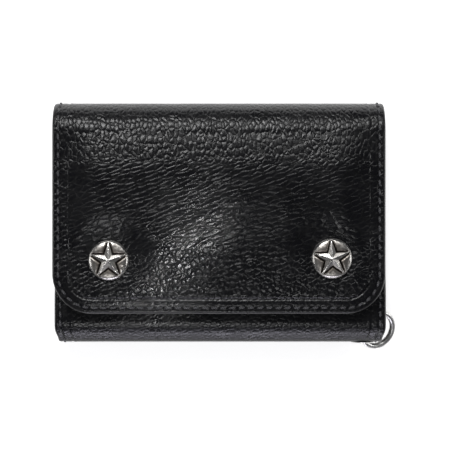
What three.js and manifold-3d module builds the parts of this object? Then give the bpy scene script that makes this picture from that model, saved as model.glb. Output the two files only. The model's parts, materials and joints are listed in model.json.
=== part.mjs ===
// A trifold leather wallet with two star snaps and a ring for a chain, closed and lying on its back.
// Millimetres. +X is to the right, +Y towards the top fold, +Z out through the snapped flap.
// The origin is the middle of the back panel's outer face.

import * as THREE from 'three';
import { mergeVertices } from 'three/addons/utils/BufferGeometryUtils.js';
import Module from 'manifold-3d';

const wasm = await Module();
wasm.setup();

// ---------------------------------------------------------------- driving dimensions

const WIDTH = 125;
const HEIGHT = 91;
const THICKNESS = 22.5;         // closed, over the flap's leather
const LEATHER = 1.8;            // outer leather
const DIVIDER = 1.0;            // wall of the note compartment
const LINER = 0.6;              // thin leather of the pockets
const GAP = 0.3;                // between solids that lie on each other
const SEAT = 0.1;               // under hardware that is pressed onto the leather

const FRONT_FACE = 15.5;        // height of the front panel's outer face
const FRONT_TOP = 8;            // Y of the front panel's free edge
const FLAP_END = -34.2;         // Y of the flap's free edge
const FLAP_CORNER = 15;         // radius of the flap's two free corners
const FRONT_CORNER = 8;         // radius of the front panel's two free corners
const PULL_BACK_45 = 0.6;       // leather left out on each side of a 45 degree fold line
const PULL_BACK_90 = 1.2;       // the same at a 90 degree fold line

const INNER_HALF_WIDTH = 61;    // half width of the pieces inside the body
const INNER_BOTTOM = -33;       // lowest Y of the pieces inside the body
const CARD_STEP = 12;           // how far each card slot's mouth steps down
const CARD_SLOTS = 4;

const SNAPS = [
  { side: 'left', x: -41.2, y: -14.1, turn: 0 },
  { side: 'right', x: 42.3, y: -13.4, turn: 3 },   // turn in degrees of the star
];

const ZIP_Y = 2.5;              // line of the zip across the front panel's inner side
const ZIP_HALF_LENGTH = 50;
const SLIDER_LENGTH = 8;

const RING_DIAMETER = 16;       // over the outside
const RING_RADIAL = 2.2;        // section across the ring's plane
const RING_AXIAL = 2.6;         // section along the ring's axis
const RING_INSET_X = 1.4;       // ring's centre inside the right-hand edge
const RING_INSET_Y = 4.2;       // ring's centre above the bottom edge
const RING_DROOP = 29;          // degrees that the ring's outer side hangs down
const EYELET_BORE = 3.2;        // radius
const GUSSET_INSET = 1;         // how far the gusset's ends stay inside the panels' sides

// ---------------------------------------------------------------- heights of the layers

const FRONT_LEATHER_Z = FRONT_FACE - LEATHER;
const FLAP_LEATHER_Z = THICKNESS - LEATHER;
const DIVIDER_Z = LEATHER + GAP;
const CARD_BASE_Z = DIVIDER_Z + DIVIDER + GAP;
const POCKET_PANEL_Z = FRONT_FACE - 5.9;
const POCKET_PANEL_THICKNESS = 0.7;
const ZIP_TAPE_Z = POCKET_PANEL_Z + POCKET_PANEL_THICKNESS + GAP;
const ZIP_TAPE_THICKNESS = 0.4;
const COIN_LINING_Z = FRONT_FACE - 3.1;
const COIN_LINING_THICKNESS = 0.3;
const FLAP_LINING_Z = FLAP_LEATHER_Z - GAP - LINER;
const ID_FILM_THICKNESS = 0.2;
const ID_FILM_Z = FLAP_LINING_Z - GAP - ID_FILM_THICKNESS;
const ID_FRAME_THICKNESS = 0.8;
const ID_FRAME_Z = ID_FILM_Z - GAP - ID_FRAME_THICKNESS;

// ---------------------------------------------------------------- fold lines, as [Y, Z] in mid-leather

const TOP_STRIP = (THICKNESS - LEATHER) / (1 + Math.SQRT2);
const TOP_RUN = TOP_STRIP / Math.SQRT2;
const TOP_START = (HEIGHT - LEATHER) / 2 - TOP_RUN;
const TOP_FOLDS = [
  [TOP_START, LEATHER / 2],
  [TOP_START + TOP_RUN, LEATHER / 2 + TOP_RUN],
  [TOP_START + TOP_RUN, LEATHER / 2 + TOP_RUN + TOP_STRIP],
  [TOP_START, THICKNESS - LEATHER / 2],
];
const BOTTOM_FOLD_Y = -(HEIGHT - LEATHER) / 2;
const BOTTOM_FOLD_Z = [LEATHER / 2, FRONT_FACE - LEATHER / 2];

// ---------------------------------------------------------------- materials

const standard = (color, roughness, metalness) =>
  new THREE.MeshStandardMaterial({ color, roughness, metalness });

const outerLeather = standard(0x17171b, 0.55, 0);
const innerLeather = standard(0x1d1c1e, 0.7, 0);
const blackTextile = standard(0x101012, 0.9, 0);
const antiqueSilver = standard(0x9a9894, 0.38, 1);
const nickel = standard(0xc4c4c6, 0.25, 1);
const clearFilm = standard(0xcfd6da, 0.12, 0);

// ---------------------------------------------------------------- helpers

// Outline of a rectangle whose lower and upper corners have their own radii.
function roundedRectangle(x0, x1, y0, y1, lowerRadius = 0, upperRadius = 0) {
  const shape = new THREE.Shape();
  const quarter = Math.PI / 2;
  shape.moveTo(x0 + lowerRadius, y0);
  shape.lineTo(x1 - lowerRadius, y0);
  if (lowerRadius) shape.absarc(x1 - lowerRadius, y0 + lowerRadius, lowerRadius, -quarter, 0);
  shape.lineTo(x1, y1 - upperRadius);
  if (upperRadius) shape.absarc(x1 - upperRadius, y1 - upperRadius, upperRadius, 0, quarter);
  shape.lineTo(x0 + upperRadius, y1);
  if (upperRadius) shape.absarc(x0 + upperRadius, y1 - upperRadius, upperRadius, quarter, 2 * quarter);
  shape.lineTo(x0, y0 + lowerRadius);
  if (lowerRadius) shape.absarc(x0 + lowerRadius, y0 + lowerRadius, lowerRadius, 2 * quarter, 3 * quarter);
  return shape;
}

function punch(shape, x, y, radius) {
  const hole = new THREE.Path();
  hole.absarc(x, y, radius, 0, 2 * Math.PI, true);
  shape.holes.push(hole);
}

// A flat sheet with the given outline, lying from height z upwards.
function sheet(shape, z, thickness, curveSegments = 8) {
  const options = { depth: thickness, bevelEnabled: false, curveSegments };
  const geometry = new THREE.ExtrudeGeometry(shape, options);
  return geometry.translate(0, 0, z);
}

function block(x0, x1, y0, y1, z0, z1) {
  const geometry = new THREE.BoxGeometry(x1 - x0, y1 - y0, z1 - z0);
  return geometry.translate((x0 + x1) / 2, (y0 + y1) / 2, (z0 + z1) / 2);
}

// A turned piece. The profile is a list of [radius, height]; the axis of the result is +Z.
function turned(profile, segments = 28) {
  const points = profile.map(([radius, height]) => new THREE.Vector2(radius, height));
  return new THREE.LatheGeometry(points, segments).rotateX(Math.PI / 2);
}

function toSolid(geometry) {
  const bare = geometry.clone();
  bare.deleteAttribute('normal');
  bare.deleteAttribute('uv');
  const merged = mergeVertices(bare);
  const vertProperties = new Float32Array(merged.attributes.position.array);
  const triVerts = new Uint32Array(merged.index.array);
  return new wasm.Manifold(new wasm.Mesh({ numProp: 3, vertProperties, triVerts }));
}

function toGeometry(solid) {
  const { vertProperties, triVerts } = solid.getMesh();
  const geometry = new THREE.BufferGeometry();
  geometry.setAttribute('position', new THREE.BufferAttribute(vertProperties, 3));
  geometry.setIndex(new THREE.BufferAttribute(triVerts, 1));
  geometry.computeVertexNormals();
  return geometry;
}

function piece(name, geometry, material) {
  const mesh = new THREE.Mesh(geometry, material);
  mesh.name = name;
  return mesh;
}

// ---------------------------------------------------------------- back panel and what is sewn to it

function backPanel() {
  const outline = roundedRectangle(
    -WIDTH / 2, WIDTH / 2, BOTTOM_FOLD_Y + PULL_BACK_90, TOP_START - PULL_BACK_45);
  return piece('back_panel', sheet(outline, 0, LEATHER), outerLeather);
}

function noteDivider() {
  const outline = roundedRectangle(-INNER_HALF_WIDTH, INNER_HALF_WIDTH, INNER_BOTTOM, TOP_START - 2, 3, 3);
  return piece('note_divider', sheet(outline, DIVIDER_Z, DIVIDER), innerLeather);
}

// The card slots lie on a base sheet like shingles, the lowest mouth on top.
function cardSlots() {
  const sheets = [];
  for (let layer = 0; layer <= CARD_SLOTS; layer += 1) {
    const z = CARD_BASE_Z + layer * (LINER + GAP);
    const mouth = TOP_START - 4 - layer * CARD_STEP;
    const outline = roundedRectangle(-INNER_HALF_WIDTH, INNER_HALF_WIDTH, INNER_BOTTOM, mouth, 3, 1);
    const name = layer === 0 ? 'card_base' : `card_slot_${layer}`;
    sheets.push(piece(name, sheet(outline, z, LINER), innerLeather));
  }
  return sheets;
}

// ---------------------------------------------------------------- top fold

function topFoldStrips() {
  const strips = [];
  for (let i = 0; i < TOP_FOLDS.length - 1; i += 1) {
    const [y0, z0] = TOP_FOLDS[i];
    const [y1, z1] = TOP_FOLDS[i + 1];
    const length = Math.hypot(y1 - y0, z1 - z0) - 2 * PULL_BACK_45;
    const geometry = new THREE.BoxGeometry(WIDTH, length, LEATHER);
    const strip = piece(`top_fold_strip_${i + 1}`, geometry, outerLeather);
    strip.position.set(0, (y0 + y1) / 2, (z0 + z1) / 2);
    strip.rotation.x = Math.atan2(z1 - z0, y1 - y0);
    strips.push(strip);
  }
  return strips;
}

// ---------------------------------------------------------------- flap

function flapLeather() {
  const outline = roundedRectangle(
    -WIDTH / 2, WIDTH / 2, FLAP_END, TOP_START - PULL_BACK_45, FLAP_CORNER, 0);
  for (const snap of SNAPS) punch(outline, snap.x, snap.y, CONCHO_POST + GAP);
  return piece('flap_leather', sheet(outline, FLAP_LEATHER_Z, LEATHER, 12), outerLeather);
}

function flapLining() {
  const inset = 1;
  const outline = roundedRectangle(
    -WIDTH / 2 + inset, WIDTH / 2 - inset, FLAP_END + inset, TOP_START - PULL_BACK_45 - inset,
    FLAP_CORNER - inset, 0);
  for (const snap of SNAPS) punch(outline, snap.x, snap.y, CONCHO_POST + GAP);
  return piece('flap_lining', sheet(outline, FLAP_LINING_Z, LINER, 12), innerLeather);
}

const ID_FRAME = { x: 47, y0: 13, y1: 36, border: 6 };

function idFrame() {
  const { x, y0, y1, border } = ID_FRAME;
  const outline = roundedRectangle(-x, x, y0, y1, 2, 2);
  outline.holes.push(roundedRectangle(-x + border, x - border, y0 + border, y1 - border, 1.5, 1.5));
  return piece('id_pocket_frame', sheet(outline, ID_FRAME_Z, ID_FRAME_THICKNESS, 4), innerLeather);
}

function idWindow() {
  const { x, y0, y1, border } = ID_FRAME;
  const lap = border / 2;
  const outline = roundedRectangle(-x + lap, x - lap, y0 + lap, y1 - lap, 1, 1);
  return piece('id_window', sheet(outline, ID_FILM_Z, ID_FILM_THICKNESS, 4), clearFilm);
}

// ---------------------------------------------------------------- snaps

const CONCHO_RADIUS = 7.55;
const CONCHO_POST = 1.8;          // radius of the post through the flap
const CONCHO_RIM = 1.0;           // height of the disc's edge
const CONCHO_DOME = 2.5;          // height of the dome between the star's arms
const STAR_TIP = 6.9;             // radius at the tips
const STAR_WAIST = 2.9;           // radius between the arms
const STAR_APEX = 3.3;            // height of the star's middle
const STAR_TIP_HEIGHT = 1.9;
const STAR_WAIST_HEIGHT = 2.1;

const SOCKET_RADIUS = 6.3;
const SOCKET_MOUTH = 3.8;         // radius, wide enough for the flap to turn off the stud
const SOCKET_BOTTOM = 17;
const STUD_FLANGE = 4.9;          // radius
const STUD_HEAD = 2.1;            // radius
const STUD_HEIGHT = 3.0;          // above the front panel
const STUD_SHANK = 1.2;           // radius

// A five-pointed star whose arms are ridged from the middle to the tips.
function starSolid(baseZ) {
  const corners = [];
  for (let i = 0; i < 10; i += 1) {
    const isTip = i % 2 === 0;
    const radius = isTip ? STAR_TIP : STAR_WAIST;
    const angle = Math.PI / 2 + i * Math.PI / 5;
    const height = isTip ? STAR_TIP_HEIGHT : STAR_WAIST_HEIGHT;
    corners.push([radius * Math.cos(angle), radius * Math.sin(angle), height]);
  }
  const positions = [];
  const triangle = (a, b, c) => positions.push(...a, ...b, ...c);
  for (let i = 0; i < 10; i += 1) {
    const a = corners[i];
    const b = corners[(i + 1) % 10];
    const aBase = [a[0], a[1], baseZ];
    const bBase = [b[0], b[1], baseZ];
    triangle([0, 0, STAR_APEX], a, b);
    triangle(a, aBase, bBase);
    triangle(a, bBase, b);
    triangle([0, 0, baseZ], bBase, aBase);
  }
  const geometry = new THREE.BufferGeometry();
  geometry.setAttribute('position', new THREE.BufferAttribute(new Float32Array(positions), 3));
  geometry.setAttribute('normal', new THREE.BufferAttribute(new Float32Array(positions.length), 3));
  geometry.setAttribute('uv', new THREE.BufferAttribute(new Float32Array(positions.length / 3 * 2), 2));
  return geometry;
}

function conchoGeometry() {
  const profile = [[0, 0], [CONCHO_RADIUS - 0.3, 0], [CONCHO_RADIUS, 0.3], [CONCHO_RADIUS, CONCHO_RIM]];
  for (let step = 1; step < 6; step += 1) {
    const angle = step / 6 * Math.PI / 2;
    const rise = (CONCHO_DOME - CONCHO_RIM) * Math.sin(angle);
    profile.push([CONCHO_RADIUS * Math.cos(angle), CONCHO_RIM + rise]);
  }
  profile.push([0, CONCHO_DOME]);
  const postLength = SEAT + LEATHER + GAP + LINER;
  const post = turned([[0, -postLength], [CONCHO_POST, -postLength], [CONCHO_POST, 0.5], [0, 0.5]], 20);
  const solid = toSolid(turned(profile, 36)).add(toSolid(starSolid(0.5))).add(toSolid(post));
  return toGeometry(solid);
}

function socketGeometry() {
  const top = FLAP_LINING_Z - GAP;
  const floor = top - 0.6;
  return turned([
    [0, floor], [SOCKET_MOUTH, floor], [SOCKET_MOUTH, SOCKET_BOTTOM], [SOCKET_RADIUS - 0.8, SOCKET_BOTTOM],
    [SOCKET_RADIUS, SOCKET_BOTTOM + 0.8], [SOCKET_RADIUS, top - 0.5], [SOCKET_RADIUS - 0.5, top], [0, top],
  ]);
}

function studGeometry() {
  const base = FRONT_FACE + SEAT;
  const top = FRONT_FACE + STUD_HEIGHT;
  const waist = STUD_HEAD - 0.4;
  return turned([
    [0, FRONT_LEATHER_Z], [STUD_SHANK, FRONT_LEATHER_Z], [STUD_SHANK, base], [STUD_FLANGE, base],
    [STUD_FLANGE, base + 0.4], [STUD_FLANGE - 1.2, base + 0.9], [waist, base + 0.9], [waist, top - 1.3],
    [STUD_HEAD, top - 0.8], [STUD_HEAD - 0.4, top - 0.1], [STUD_HEAD - 1, top], [0, top],
  ], 24);
}

function postGeometry() {
  const top = FRONT_LEATHER_Z - GAP;
  const bottom = COIN_LINING_Z + COIN_LINING_THICKNESS + GAP;
  return turned([[0, bottom], [STUD_FLANGE - 0.3, bottom], [STUD_FLANGE, top], [0, top]], 24);
}

function flapSnapPieces() {
  const pieces = [];
  const shared = conchoGeometry();
  for (const { side, x, y, turn } of SNAPS) {
    const concho = piece(`concho_${side}`, shared, antiqueSilver);
    concho.position.set(x, y, THICKNESS + SEAT);
    concho.rotation.z = THREE.MathUtils.degToRad(turn);
    const socket = piece(`snap_socket_${side}`, socketGeometry(), nickel);
    socket.position.set(x, y, 0);
    pieces.push(concho, socket);
  }
  return pieces;
}

function frontSnapPieces() {
  const pieces = [];
  for (const { side, x, y } of SNAPS) {
    const stud = piece(`snap_stud_${side}`, studGeometry(), nickel);
    const post = piece(`snap_post_${side}`, postGeometry(), nickel);
    stud.position.set(x, y, 0);
    post.position.set(x, y, 0);
    pieces.push(stud, post);
  }
  return pieces;
}

// ---------------------------------------------------------------- bottom gusset with its eyelet and ring

const RING_MID_RADIUS = (RING_DIAMETER - RING_RADIAL) / 2;
const RING_CENTRE = new THREE.Vector2(WIDTH / 2 - RING_INSET_X, -HEIGHT / 2 + RING_INSET_Y);
const RING_Z = (BOTTOM_FOLD_Z[0] + BOTTOM_FOLD_Z[1]) / 2;

// The ring's middle line crosses the gusset at the eyelet and leaves past the gusset's right-hand end.
const CROSS_GUSSET = new THREE.Vector2(
  RING_CENTRE.x - Math.sqrt(RING_MID_RADIUS ** 2 - (BOTTOM_FOLD_Y - RING_CENTRE.y) ** 2), BOTTOM_FOLD_Y);
const CROSS_SIDE = new THREE.Vector2(
  WIDTH / 2, RING_CENTRE.y + Math.sqrt(RING_MID_RADIUS ** 2 - RING_INSET_X ** 2));

const EYELET_BARREL = EYELET_BORE + 0.4;
const EYELET_FLANGE = 4.5;
const EYELET_FLANGE_THICKNESS = 0.5;

function bottomGusset() {
  const halfWidth = WIDTH / 2 - GUSSET_INSET;
  const outline = roundedRectangle(
    -halfWidth, halfWidth, BOTTOM_FOLD_Z[0] + PULL_BACK_90, BOTTOM_FOLD_Z[1] - PULL_BACK_90);
  punch(outline, CROSS_GUSSET.x, RING_Z, EYELET_BARREL + 0.2);
  const gusset = piece('bottom_gusset', sheet(outline, 0, LEATHER), outerLeather);
  gusset.rotation.x = Math.PI / 2;
  gusset.position.y = BOTTOM_FOLD_Y + LEATHER / 2;
  return gusset;
}

// The eyelet's flange is outside and its barrel passes inwards. The washer is on the inside.
function eyeletPieces() {
  const half = LEATHER / 2;
  const outerFace = half + SEAT + EYELET_FLANGE_THICKNESS;
  const eyelet = piece('ring_eyelet', turned([
    [EYELET_BORE, -half], [EYELET_BARREL, -half], [EYELET_BARREL, half + SEAT],
    [EYELET_FLANGE, half + SEAT], [EYELET_FLANGE - 0.2, outerFace], [EYELET_BORE + 0.3, outerFace],
    [EYELET_BORE, outerFace - 0.3], [EYELET_BORE, -half],
  ]), nickel);
  const washer = piece('ring_eyelet_washer', turned([
    [EYELET_BORE, -outerFace], [EYELET_FLANGE, -outerFace], [EYELET_FLANGE, -half - SEAT],
    [EYELET_BORE, -half - SEAT], [EYELET_BORE, -outerFace],
  ]), nickel);
  for (const part of [eyelet, washer]) {
    part.rotation.x = Math.PI / 2;
    part.position.set(CROSS_GUSSET.x, BOTTOM_FOLD_Y, RING_Z);
  }
  return [eyelet, washer];
}

// The ring hangs on the chord between its two crossings, so its outer side droops about that line.
function chainRing() {
  const section = [];
  for (let step = 0; step <= 10; step += 1) {
    const angle = step / 10 * 2 * Math.PI;
    section.push([
      RING_MID_RADIUS + RING_RADIAL / 2 * Math.cos(angle), RING_AXIAL / 2 * Math.sin(angle)]);
  }
  const chord = CROSS_SIDE.clone().sub(CROSS_GUSSET);
  const ring = piece('chain_ring', turned(section, 40), nickel);
  const offset = Math.sqrt(RING_MID_RADIUS ** 2 - (chord.length() / 2) ** 2);
  ring.position.set(chord.length() / 2, -offset, 0);
  const droop = new THREE.Group();
  droop.rotation.x = THREE.MathUtils.degToRad(RING_DROOP);
  droop.add(ring);
  const hanger = new THREE.Group();
  hanger.position.set(CROSS_GUSSET.x, CROSS_GUSSET.y, RING_Z);
  hanger.rotation.z = chord.angle();
  hanger.add(droop);
  return hanger;
}

// ---------------------------------------------------------------- front panel and its coin pocket

const POCKET_HALF_WIDTH = 59;
const POCKET_BOTTOM = -32.5;
const ZIP_OPENING = 2.9;          // half height of the slot that shows the zip
const TOOTH_HALF_HEIGHT = 1.3;
const TOOTH_THICKNESS = 1.0;

function frontLeather() {
  const outline = roundedRectangle(
    -WIDTH / 2, WIDTH / 2, BOTTOM_FOLD_Y + PULL_BACK_90, FRONT_TOP, 0, FRONT_CORNER);
  for (const snap of SNAPS) punch(outline, snap.x, snap.y, STUD_SHANK + GAP);
  return piece('front_leather', sheet(outline, FRONT_LEATHER_Z, LEATHER), outerLeather);
}

function coinPocket() {
  const x = POCKET_HALF_WIDTH;
  const lower = roundedRectangle(-x, x, POCKET_BOTTOM, ZIP_Y - ZIP_OPENING, 3, 0);
  const upper = roundedRectangle(-x, x, ZIP_Y + ZIP_OPENING, FRONT_TOP, 0, 1.5);
  const lining = roundedRectangle(-x, x, POCKET_BOTTOM, FRONT_TOP - 0.5, 3, 1.5);
  return [
    piece('coin_pocket_panel_lower', sheet(lower, POCKET_PANEL_Z, POCKET_PANEL_THICKNESS), innerLeather),
    piece('coin_pocket_panel_upper', sheet(upper, POCKET_PANEL_Z, POCKET_PANEL_THICKNESS), innerLeather),
    piece('coin_pocket_lining', sheet(lining, COIN_LINING_Z, COIN_LINING_THICKNESS), blackTextile),
  ];
}

function zipTapesAndTeeth() {
  const x = POCKET_HALF_WIDTH - 2;
  const z0 = ZIP_TAPE_Z;
  const z1 = ZIP_TAPE_Z + ZIP_TAPE_THICKNESS;
  const toothZ = (z0 + z1) / 2;
  const near = TOOTH_HALF_HEIGHT + GAP;
  const far = near + 2.6;
  const teeth = block(
    -ZIP_HALF_LENGTH, ZIP_HALF_LENGTH, ZIP_Y - TOOTH_HALF_HEIGHT, ZIP_Y + TOOTH_HALF_HEIGHT,
    toothZ - TOOTH_THICKNESS / 2, toothZ + TOOTH_THICKNESS / 2);
  const pieces = [
    piece('zip_tape_upper', block(-x, x, ZIP_Y + near, ZIP_Y + far, z0, z1), blackTextile),
    piece('zip_tape_lower', block(-x, x, ZIP_Y - far, ZIP_Y - near, z0, z1), blackTextile),
    piece('zip_teeth', teeth, nickel),
  ];
  for (const [side, sign] of [['left', -1], ['right', 1]]) {
    const start = sign * (ZIP_HALF_LENGTH + GAP);
    const end = start + sign * 1.6;
    const stop = block(
      Math.min(start, end), Math.max(start, end), ZIP_Y - TOOTH_HALF_HEIGHT, ZIP_Y + TOOTH_HALF_HEIGHT,
      toothZ - TOOTH_THICKNESS / 2, toothZ + TOOTH_THICKNESS / 2);
    pieces.push(piece(`zip_stop_${side}`, stop, nickel));
  }
  return pieces;
}

const SLIDER_RIGHT = ZIP_HALF_LENGTH - 0.5;
const SLIDER_LEFT = SLIDER_RIGHT - SLIDER_LENGTH;
const SLIDER_HALF_HEIGHT = 2.5;
const WING_THICKNESS = 0.7;
const BACK_WING_THICKNESS = 0.5;
const BRIDGE_THICKNESS = 1.2;
const BRIDGE_HEIGHT = 1.3;
const ZIP_MIDDLE_Z = ZIP_TAPE_Z + ZIP_TAPE_THICKNESS / 2;
const WING_Z = ZIP_MIDDLE_Z - TOOTH_THICKNESS / 2 - GAP - WING_THICKNESS;

// The slider stands at the zip's right-hand end. Its two wings hold the teeth between them, and
// a bridge under the outer wing carries the pull.
function zipSlider() {
  const outline = roundedRectangle(
    SLIDER_LEFT, SLIDER_RIGHT, ZIP_Y - SLIDER_HALF_HEIGHT, ZIP_Y + SLIDER_HALF_HEIGHT, 1.4, 1.4);
  const bridgeSide = roundedRectangle(SLIDER_LEFT + 1, SLIDER_RIGHT - 1, -0.1, BRIDGE_HEIGHT, 0, 0.7);
  bridgeSide.holes.push(roundedRectangle(SLIDER_LEFT + 2, SLIDER_RIGHT - 2, 0.1, BRIDGE_HEIGHT - 0.5));
  const bridge = sheet(bridgeSide, 0, BRIDGE_THICKNESS, 3);
  bridge.rotateX(-Math.PI / 2);
  bridge.translate(0, ZIP_Y - BRIDGE_THICKNESS / 2, WING_Z);
  const wing = sheet(outline, WING_Z, WING_THICKNESS, 4);
  const backWing = sheet(outline, ZIP_MIDDLE_Z + TOOTH_THICKNESS / 2 + GAP, BACK_WING_THICKNESS, 4);
  return [
    piece('zip_slider', toGeometry(toSolid(wing).add(toSolid(bridge))), nickel),
    piece('zip_slider_back_wing', backWing, nickel),
  ];
}

// A thin thong with a T-shaped end, threaded through the slider's bridge.
function zipPull() {
  const middle = (SLIDER_LEFT + SLIDER_RIGHT) / 2;
  const halfWidth = 1.6;
  const tee = 2.6;
  const top = ZIP_Y + 2.2;
  const outline = new THREE.Shape();
  outline.moveTo(middle - halfWidth, ZIP_Y - 15);
  outline.lineTo(middle + halfWidth, ZIP_Y - 15);
  outline.lineTo(middle + halfWidth, top - 1.2);
  outline.lineTo(middle + tee, top - 1.2);
  outline.lineTo(middle + tee, top);
  outline.lineTo(middle - tee, top);
  outline.lineTo(middle - tee, top - 1.2);
  outline.lineTo(middle - halfWidth, top - 1.2);
  outline.closePath();
  const thickness = 0.4;
  return piece('zip_pull', sheet(outline, WING_Z - 0.25 - thickness, thickness), innerLeather);
}

// ---------------------------------------------------------------- the assembly

const wallet = new THREE.Group();
wallet.add(backPanel(), noteDivider(), ...cardSlots());
wallet.add(...topFoldStrips());
wallet.add(flapLeather(), flapLining(), idFrame(), idWindow(), ...flapSnapPieces());
wallet.add(bottomGusset(), ...eyeletPieces(), chainRing());
wallet.add(frontLeather(), ...coinPocket(), ...zipTapesAndTeeth(), ...zipSlider(), zipPull());
wallet.add(...frontSnapPieces());

export default wallet;
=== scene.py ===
"""The looks of a closed black trifold wallet with two star snaps and a ring, around its CAD frame.

Everything is worked out in millimetres and turned into metres when a mesh is made. The outer
leather is one long strip. It is described in leather space: x across the wallet, s along the
strip from the flap's free edge, and n out of the leather's middle. lay() bends that space round
the wallet's side profile, so the skins, linings and seams that share it always meet.
"""

import json
import math
from itertools import product

import bpy
import numpy as np
from mathutils import Quaternion, Vector
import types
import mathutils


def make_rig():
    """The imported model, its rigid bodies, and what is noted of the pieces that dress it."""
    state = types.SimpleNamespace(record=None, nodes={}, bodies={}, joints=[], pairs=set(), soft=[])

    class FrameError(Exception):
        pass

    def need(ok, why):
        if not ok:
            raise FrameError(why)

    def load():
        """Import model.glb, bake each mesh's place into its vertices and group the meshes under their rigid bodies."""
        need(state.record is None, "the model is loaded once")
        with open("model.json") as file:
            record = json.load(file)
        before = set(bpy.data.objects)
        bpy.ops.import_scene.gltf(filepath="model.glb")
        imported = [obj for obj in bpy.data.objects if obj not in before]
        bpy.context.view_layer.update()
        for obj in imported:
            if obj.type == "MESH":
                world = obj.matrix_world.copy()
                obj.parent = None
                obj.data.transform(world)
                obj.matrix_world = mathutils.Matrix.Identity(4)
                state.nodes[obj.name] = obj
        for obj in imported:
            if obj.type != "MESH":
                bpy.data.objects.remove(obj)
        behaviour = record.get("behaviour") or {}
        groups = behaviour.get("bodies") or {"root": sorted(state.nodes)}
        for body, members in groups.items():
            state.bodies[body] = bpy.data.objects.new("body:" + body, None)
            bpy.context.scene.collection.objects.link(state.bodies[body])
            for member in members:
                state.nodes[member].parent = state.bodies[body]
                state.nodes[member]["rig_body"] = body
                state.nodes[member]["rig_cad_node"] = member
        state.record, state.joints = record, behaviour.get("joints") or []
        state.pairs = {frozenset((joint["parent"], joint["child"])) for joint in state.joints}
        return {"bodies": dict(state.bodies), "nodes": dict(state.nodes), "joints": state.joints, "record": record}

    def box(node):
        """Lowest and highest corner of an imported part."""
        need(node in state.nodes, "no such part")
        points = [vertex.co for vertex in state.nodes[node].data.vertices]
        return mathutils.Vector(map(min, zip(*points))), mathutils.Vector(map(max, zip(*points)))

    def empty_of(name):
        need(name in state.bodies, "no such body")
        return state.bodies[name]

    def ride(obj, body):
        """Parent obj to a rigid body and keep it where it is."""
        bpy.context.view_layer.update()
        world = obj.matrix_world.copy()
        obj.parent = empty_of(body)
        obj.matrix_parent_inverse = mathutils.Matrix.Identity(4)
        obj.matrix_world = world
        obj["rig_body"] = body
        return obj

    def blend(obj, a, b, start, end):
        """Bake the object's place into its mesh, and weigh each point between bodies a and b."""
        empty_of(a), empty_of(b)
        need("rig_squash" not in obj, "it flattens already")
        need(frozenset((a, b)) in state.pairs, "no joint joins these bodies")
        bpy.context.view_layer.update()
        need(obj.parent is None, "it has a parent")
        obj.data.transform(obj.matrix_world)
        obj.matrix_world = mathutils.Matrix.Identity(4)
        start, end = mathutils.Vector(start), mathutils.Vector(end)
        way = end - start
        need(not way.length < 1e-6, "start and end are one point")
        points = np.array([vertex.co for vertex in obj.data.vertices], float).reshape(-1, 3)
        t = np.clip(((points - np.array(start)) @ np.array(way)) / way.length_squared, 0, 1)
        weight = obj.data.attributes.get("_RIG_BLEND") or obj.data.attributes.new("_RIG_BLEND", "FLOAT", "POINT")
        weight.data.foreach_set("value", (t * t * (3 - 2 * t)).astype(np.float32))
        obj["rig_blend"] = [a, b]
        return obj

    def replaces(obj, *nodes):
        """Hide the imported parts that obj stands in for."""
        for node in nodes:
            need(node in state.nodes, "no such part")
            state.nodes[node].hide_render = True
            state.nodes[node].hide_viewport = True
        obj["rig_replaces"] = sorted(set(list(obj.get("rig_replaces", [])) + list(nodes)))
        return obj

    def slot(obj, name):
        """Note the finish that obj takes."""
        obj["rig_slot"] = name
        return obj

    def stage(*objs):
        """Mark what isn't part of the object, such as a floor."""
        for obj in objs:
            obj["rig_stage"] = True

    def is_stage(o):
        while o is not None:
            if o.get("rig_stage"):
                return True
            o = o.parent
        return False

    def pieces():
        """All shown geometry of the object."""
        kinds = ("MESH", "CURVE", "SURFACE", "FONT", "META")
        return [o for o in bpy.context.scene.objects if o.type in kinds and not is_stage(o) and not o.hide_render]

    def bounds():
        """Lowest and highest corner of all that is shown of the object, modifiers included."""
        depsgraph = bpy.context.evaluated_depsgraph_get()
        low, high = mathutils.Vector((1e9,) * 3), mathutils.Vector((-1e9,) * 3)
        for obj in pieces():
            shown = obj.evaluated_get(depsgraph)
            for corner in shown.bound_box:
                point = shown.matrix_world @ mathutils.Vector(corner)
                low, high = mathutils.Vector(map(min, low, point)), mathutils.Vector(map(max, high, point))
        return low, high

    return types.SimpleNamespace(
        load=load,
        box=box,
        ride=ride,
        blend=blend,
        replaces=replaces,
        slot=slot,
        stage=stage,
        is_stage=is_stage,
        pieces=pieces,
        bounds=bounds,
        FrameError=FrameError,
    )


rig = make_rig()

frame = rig.load()
cad_low, cad_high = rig.bounds()
MM = 0.001


def box_mm(node):
    low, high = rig.box(node)
    return np.array(low) / MM, np.array(high) / MM


# ------------------------------------------------------------------ sizes taken from the frame

FLAP_LOW, FLAP_HIGH = box_mm("flap_leather")
FRONT_HIGH = box_mm("front_leather")[1]
BACK_LOW, BACK_HIGH = box_mm("back_panel")
GUSSET_LOW, GUSSET_HIGH = box_mm("bottom_gusset")
SPINE_HIGH = box_mm("top_fold_strip_2")[1]

LEATHER = BACK_HIGH[2] - BACK_LOW[2]
HALF_LEATHER = LEATHER / 2
HALF_WIDTH = BACK_HIGH[0]
GUSSET_HALF_WIDTH = GUSSET_HIGH[0]
THICKNESS = FLAP_HIGH[2]
FRONT_FACE = FRONT_HIGH[2]
FOLD_RADIUS = (THICKNESS - LEATHER) / 2
FOLD_Y = SPINE_HIGH[1] - THICKNESS / 2
BEND_RADIUS = 3.6
BEND_Y = GUSSET_LOW[1] + HALF_LEATHER + BEND_RADIUS
FLAP_CORNER = 15.0
FRONT_CORNER = 8.0

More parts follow.
